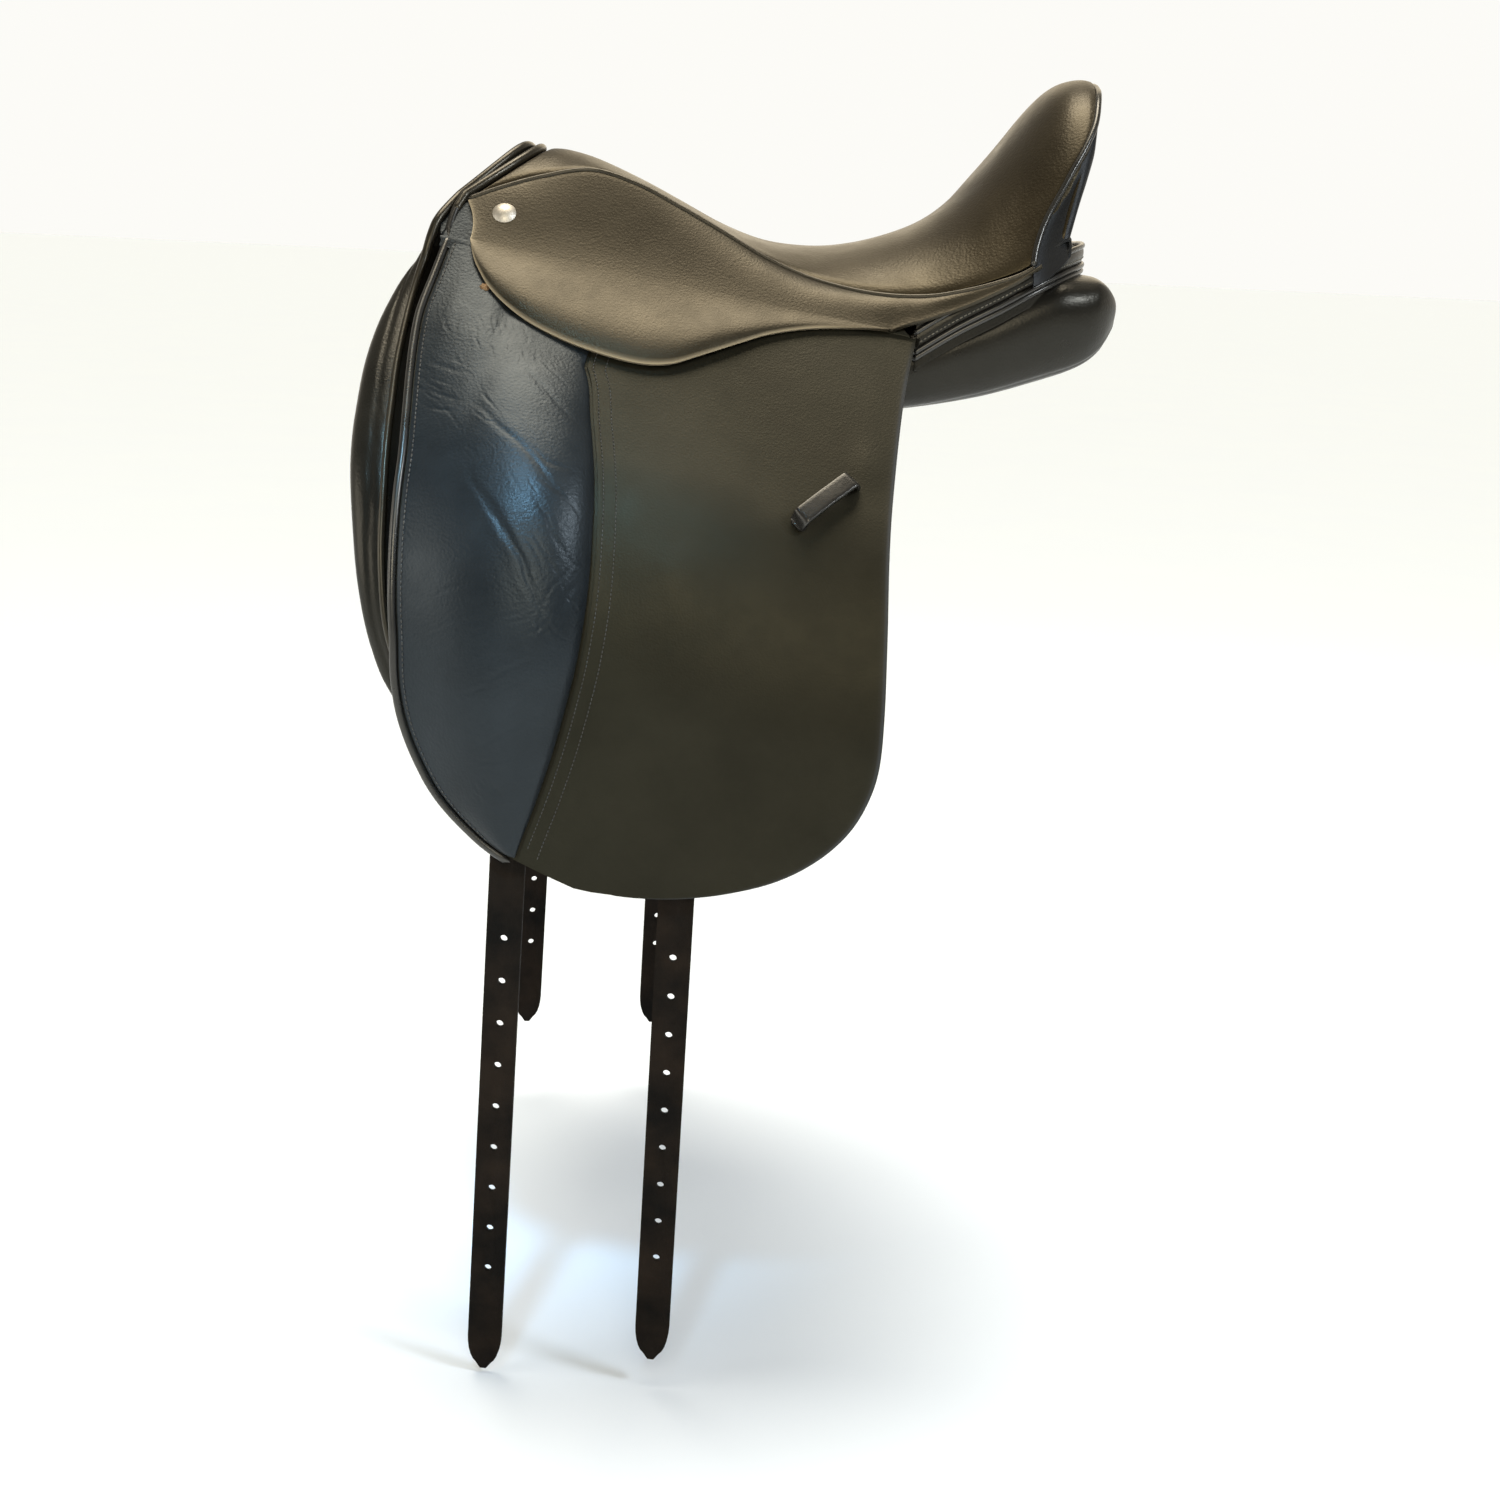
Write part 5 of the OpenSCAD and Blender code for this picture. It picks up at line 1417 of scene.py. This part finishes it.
def buildCorner(size):
    w = np.linspace(0.0, 1.0, size["rows"])
    out = faceOut(bandPoint, np.full(len(w), 0.02), np.clip(w, 0.01, 0.99))
    line = bandPoint(0.0, w) - out * size["under"]
    front = -3.5 - 13.5 * np.clip(w * 1.1, 0, 1) ** 0.8
    wide = 1 + (size["tongue"] - 1) * (1 - w ** 3)
    ahead = front[:, None] - wide[:, None] * np.linspace(1, 0.1, 8)[None]
    behind = front[:, None] + (size["rear"] - front[:, None]) * np.linspace(0, 1, size["columns"])[None]
    s = np.concatenate([ahead, behind], 1)
    sunk = size["sink"] * smooth((front[:, None] - s) / 4)
    upper = line[:, None] + (s - 2)[..., None] * alongCrease - out[:, None] * sunk[..., None]
    t = np.linspace(0, size["lap"], size["lapRows"])[1:, None]
    s2 = np.broadcast_to(s[-1:] - 2 + 2 * np.clip(t / 4, 0, 1) * (s[-1:] < -10), (len(t), s.shape[1]))
    cover = coverTop(s2, np.broadcast_to(t, s2.shape)) + 0.5 * (1 - 2 * t / size["lap"])
    share = np.clip(t / 3, 0, 1)
    lower = sidePoint(s2, t, cover * share - size["under"] * (1 - share))
    piece = gridPiece("leftFlapCorner", np.concatenate([upper, lower]) * mirror, towards=(-0.4, -1, 0.4))
    return cutLeather(piece, size["thick"], shade=60)


def bendAtCrease(pieces, span):        # bakes each piece's placement into its mesh; the crease points of the span are worked out and not used
    for piece, side, flip in zip(pieces, ("left", "right"), (mirror, np.ones(3))):
        start, end = (tuple(sidePoint(-5, t, -4) * flip / 1000) for t in span)
        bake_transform(piece)


bendAtCrease(bothSides(buildCorner(flapCorner), None, blockLook, "flap_leather"), flapCorner["bend"])
cornerEnd = pipingPath(np.array([-1.0, 3.0, 7.0]))
cornerKeys = np.array([rearTail[2], rearTail[12], sidePoint(-15.8, -9, -5.2), *cornerEnd])
cornerPath = smoothRow(cornerKeys, np.linspace(0.2, 4, 60))
cornerBead = beadPiece("leftCornerPiping", cornerPath * mirror, flapCorner["piping"], (0, 1, 0.2), 16)
bendAtCrease(bothSides(cornerBead, None, pipingLook, "piping_leather"), flapCorner["bend"])


# keeper on the flap

keeperLoop = {
    "at": (285, 152), "turn": 36, "long": 55, "wide": 13.5, "thick": 3.4, "corner": 1.2,
    "room": 7.5, "foot": 1.5, "ramp": 5,
}


def buildKeeper(size):
    along = np.linspace(-size["long"] / 2, size["long"] / 2, 70)
    near = size["long"] / 2 - np.abs(along)
    high = (size["room"] + 0.2) * smooth((near - size["foot"]) / size["ramp"]) - 3.5 + size["thick"] / 2
    a = math.radians(size["turn"])
    path = sidePoint(size["at"][0] + along * math.sin(a), size["at"][1] - along * math.cos(a), high)
    r = size["corner"]
    ring = []
    for k, way in enumerate(((1, 1), (-1, 1), (-1, -1), (1, -1))):        # a rectangle with round corners
        turn = np.linspace(0, math.pi / 2, 4) + k * math.pi / 2
        middle = np.array(way) * (np.array([size["wide"], size["thick"]]) / 2 - r)
        ring.append(middle + r * np.stack([np.cos(turn), np.sin(turn)], 1))
    ring = np.concatenate(ring)
    close = roundEnd(near, 3, 0.3)
    section = np.stack(np.broadcast_arrays(ring[None, :, 0] * close[:, None], ring[None, :, 1]), -1)
    piece = sweepPiece("leftKeeper", path * mirror, section, sideOut(np.array(size["at"][1])) * mirror)
    refine(piece, 1)
    smoothShade(piece, 50)
    return piece


bothSides(buildKeeper(keeperLoop), "left_flap_body", pipingLook, "flap_leather", "left_keeper")


# a scrap of raw leather that peeps out between skirt and block

rawTab = {"at": (23, 38.5), "size": (3.6, 2.6, 1.3)}
deselect()
bpy.ops.mesh.primitive_uv_sphere_add(segments=20, ring_count=12, radius=1)
tab = bpy.context.object
tab.name = tab.data.name = "leftRawTab"
tabPoints = getPoints(tab) / 1000 * np.array(rawTab["size"])
tabPoints = tabPoints + 0.5 * np.sin(tabPoints[:, [1, 2, 0]] * 2.1)
tabAxes = np.stack([alongCrease, -creaseDown, sideOut(np.array(40.0))])
tabHeight = kneeBlock["base"] + 1.6 + blockCrown(*np.array(rawTab["at"], float))
setPoints(tab, (sidePoint(*rawTab["at"], tabHeight) + tabPoints @ tabAxes) * mirror)
editAll(tab)
bpy.ops.mesh.normals_make_consistent(inside=False)
editDone()
smoothShade(tab, 60)
bothSides(tab, "left_flap_body", rawLook, "flap_leather")
print("keepers made")


# straps, webs and hidden leather, cut as their solids

strapCuts = [        # node, how far its edges are rounded, finish and slot
    ("side_front_web", 0.5, webLook, "webbing"), ("side_rear_web", 0.5, webLook, "webbing"),
    ("side_sweat_flap", 0.7, flapLook, "flap_leather"), ("side_flap_root", 0.7, flapLook, "flap_leather"),
    ("side_point_pocket", 0.5, liningLook, "panel_leather"), ("gullet_lining", 0.4, liningLook, "panel_leather"),
    ("seat_web_long", 0.4, webLook, "webbing"), ("seat_web_cross", 0.4, webLook, "webbing"),
]


def pieceName(node):        # words of a node's name, run together
    first, *others = node.split("_")
    return first + "".join(word.title() for word in others)


for side in ("left", "right"):
    for kind in ("front", "rear"):
        node = f"{side}_{kind}_billet"
        settle(copySolid(node, pieceName(node), 0.7, 50), f"{node}_body", billetLook, "billet_leather", node)
for cut, width, look, slot in strapCuts:
    nodes = [cut.replace("side_", f"{side}_") for side in ("left", "right")] if "side_" in cut else [cut]
    for node in nodes:
        settle(copySolid(node, pieceName(node), width), "root", look, slot, node)
print("straps made")


# thread

flapStitch = {"gap": 3.6, "long": 2.9, "wide": 1.1, "raise": 0.15, "inset": 3.6}
rowStitch = {
    "gap": 2.9, "long": 2.2, "wide": 0.8, "raise": 0.1,
    "rows": [("leftInnerStitch", 5.5, 62, 428), ("leftOuterStitch", 14, 62, 434)],        # off the block, start, stop
}
facingStitch = {"gap": 3.2, "long": 2.4, "wide": 0.9, "raise": 0.1}

stitchT = np.linspace(4, 428, 300)
stitchS = edgeAt(flapFront, stitchT) + flapStitch["inset"]
stitchPath = sidePoint(stitchS, stitchT, coverTop(stitchS, stitchT))
row = stitchRow("leftFrontStitch", stitchPath * mirror, sideOut(stitchT) * mirror, flapStitch)
bothSides(row, "left_flap_body", threadLook, "flap_leather")
for name, off, start, stop in rowStitch["rows"]:
    t = np.linspace(start, stop, 300)
    s = blockBack(t) + off
    path = sidePoint(s, t, flapFacing["out"] + flapWave(s, t) + facingSwell(off - flapFacing["gap"]))
    row = stitchRow(name, path * mirror, sideOut(t) * mirror, rowStitch)
    bothSides(row, "left_flap_body", threadLook, "flap_leather")
seamLevel = rearFacing["seamAt"]
seamPath = facingPoint(facingU, seamLevel) + facingOut(facingU) * facingRise(seamLevel)
row = stitchRow("facingStitch", seamPath, facingOut(facingU), facingStitch)
settle(row, "root", paleThreadLook, "panel_leather")
print("thread laid")


# rigid solids that stay

rigidLooks = {
    # the tree points take the painted-shade finish
    "tree": beechLook, "left_tree_point": slotShadeLook, "right_tree_point": slotShadeLook, "left_stud": studLook,
    "right_stud": studLook, "gullet_plate": steelLook, "bar_rivets": steelLook, "catch_pins": steelLook,
    "left_stirrup_bar": steelLook, "right_stirrup_bar": steelLook, "left_bar_catch": steelLook,
    "right_bar_catch": steelLook,
}
for name, look in rigidLooks.items():
    if solids[name].material_slots:
        for part in solids[name].material_slots:
            part.material = look
    else:
        solids[name].data.materials.append(look)

print("finished")
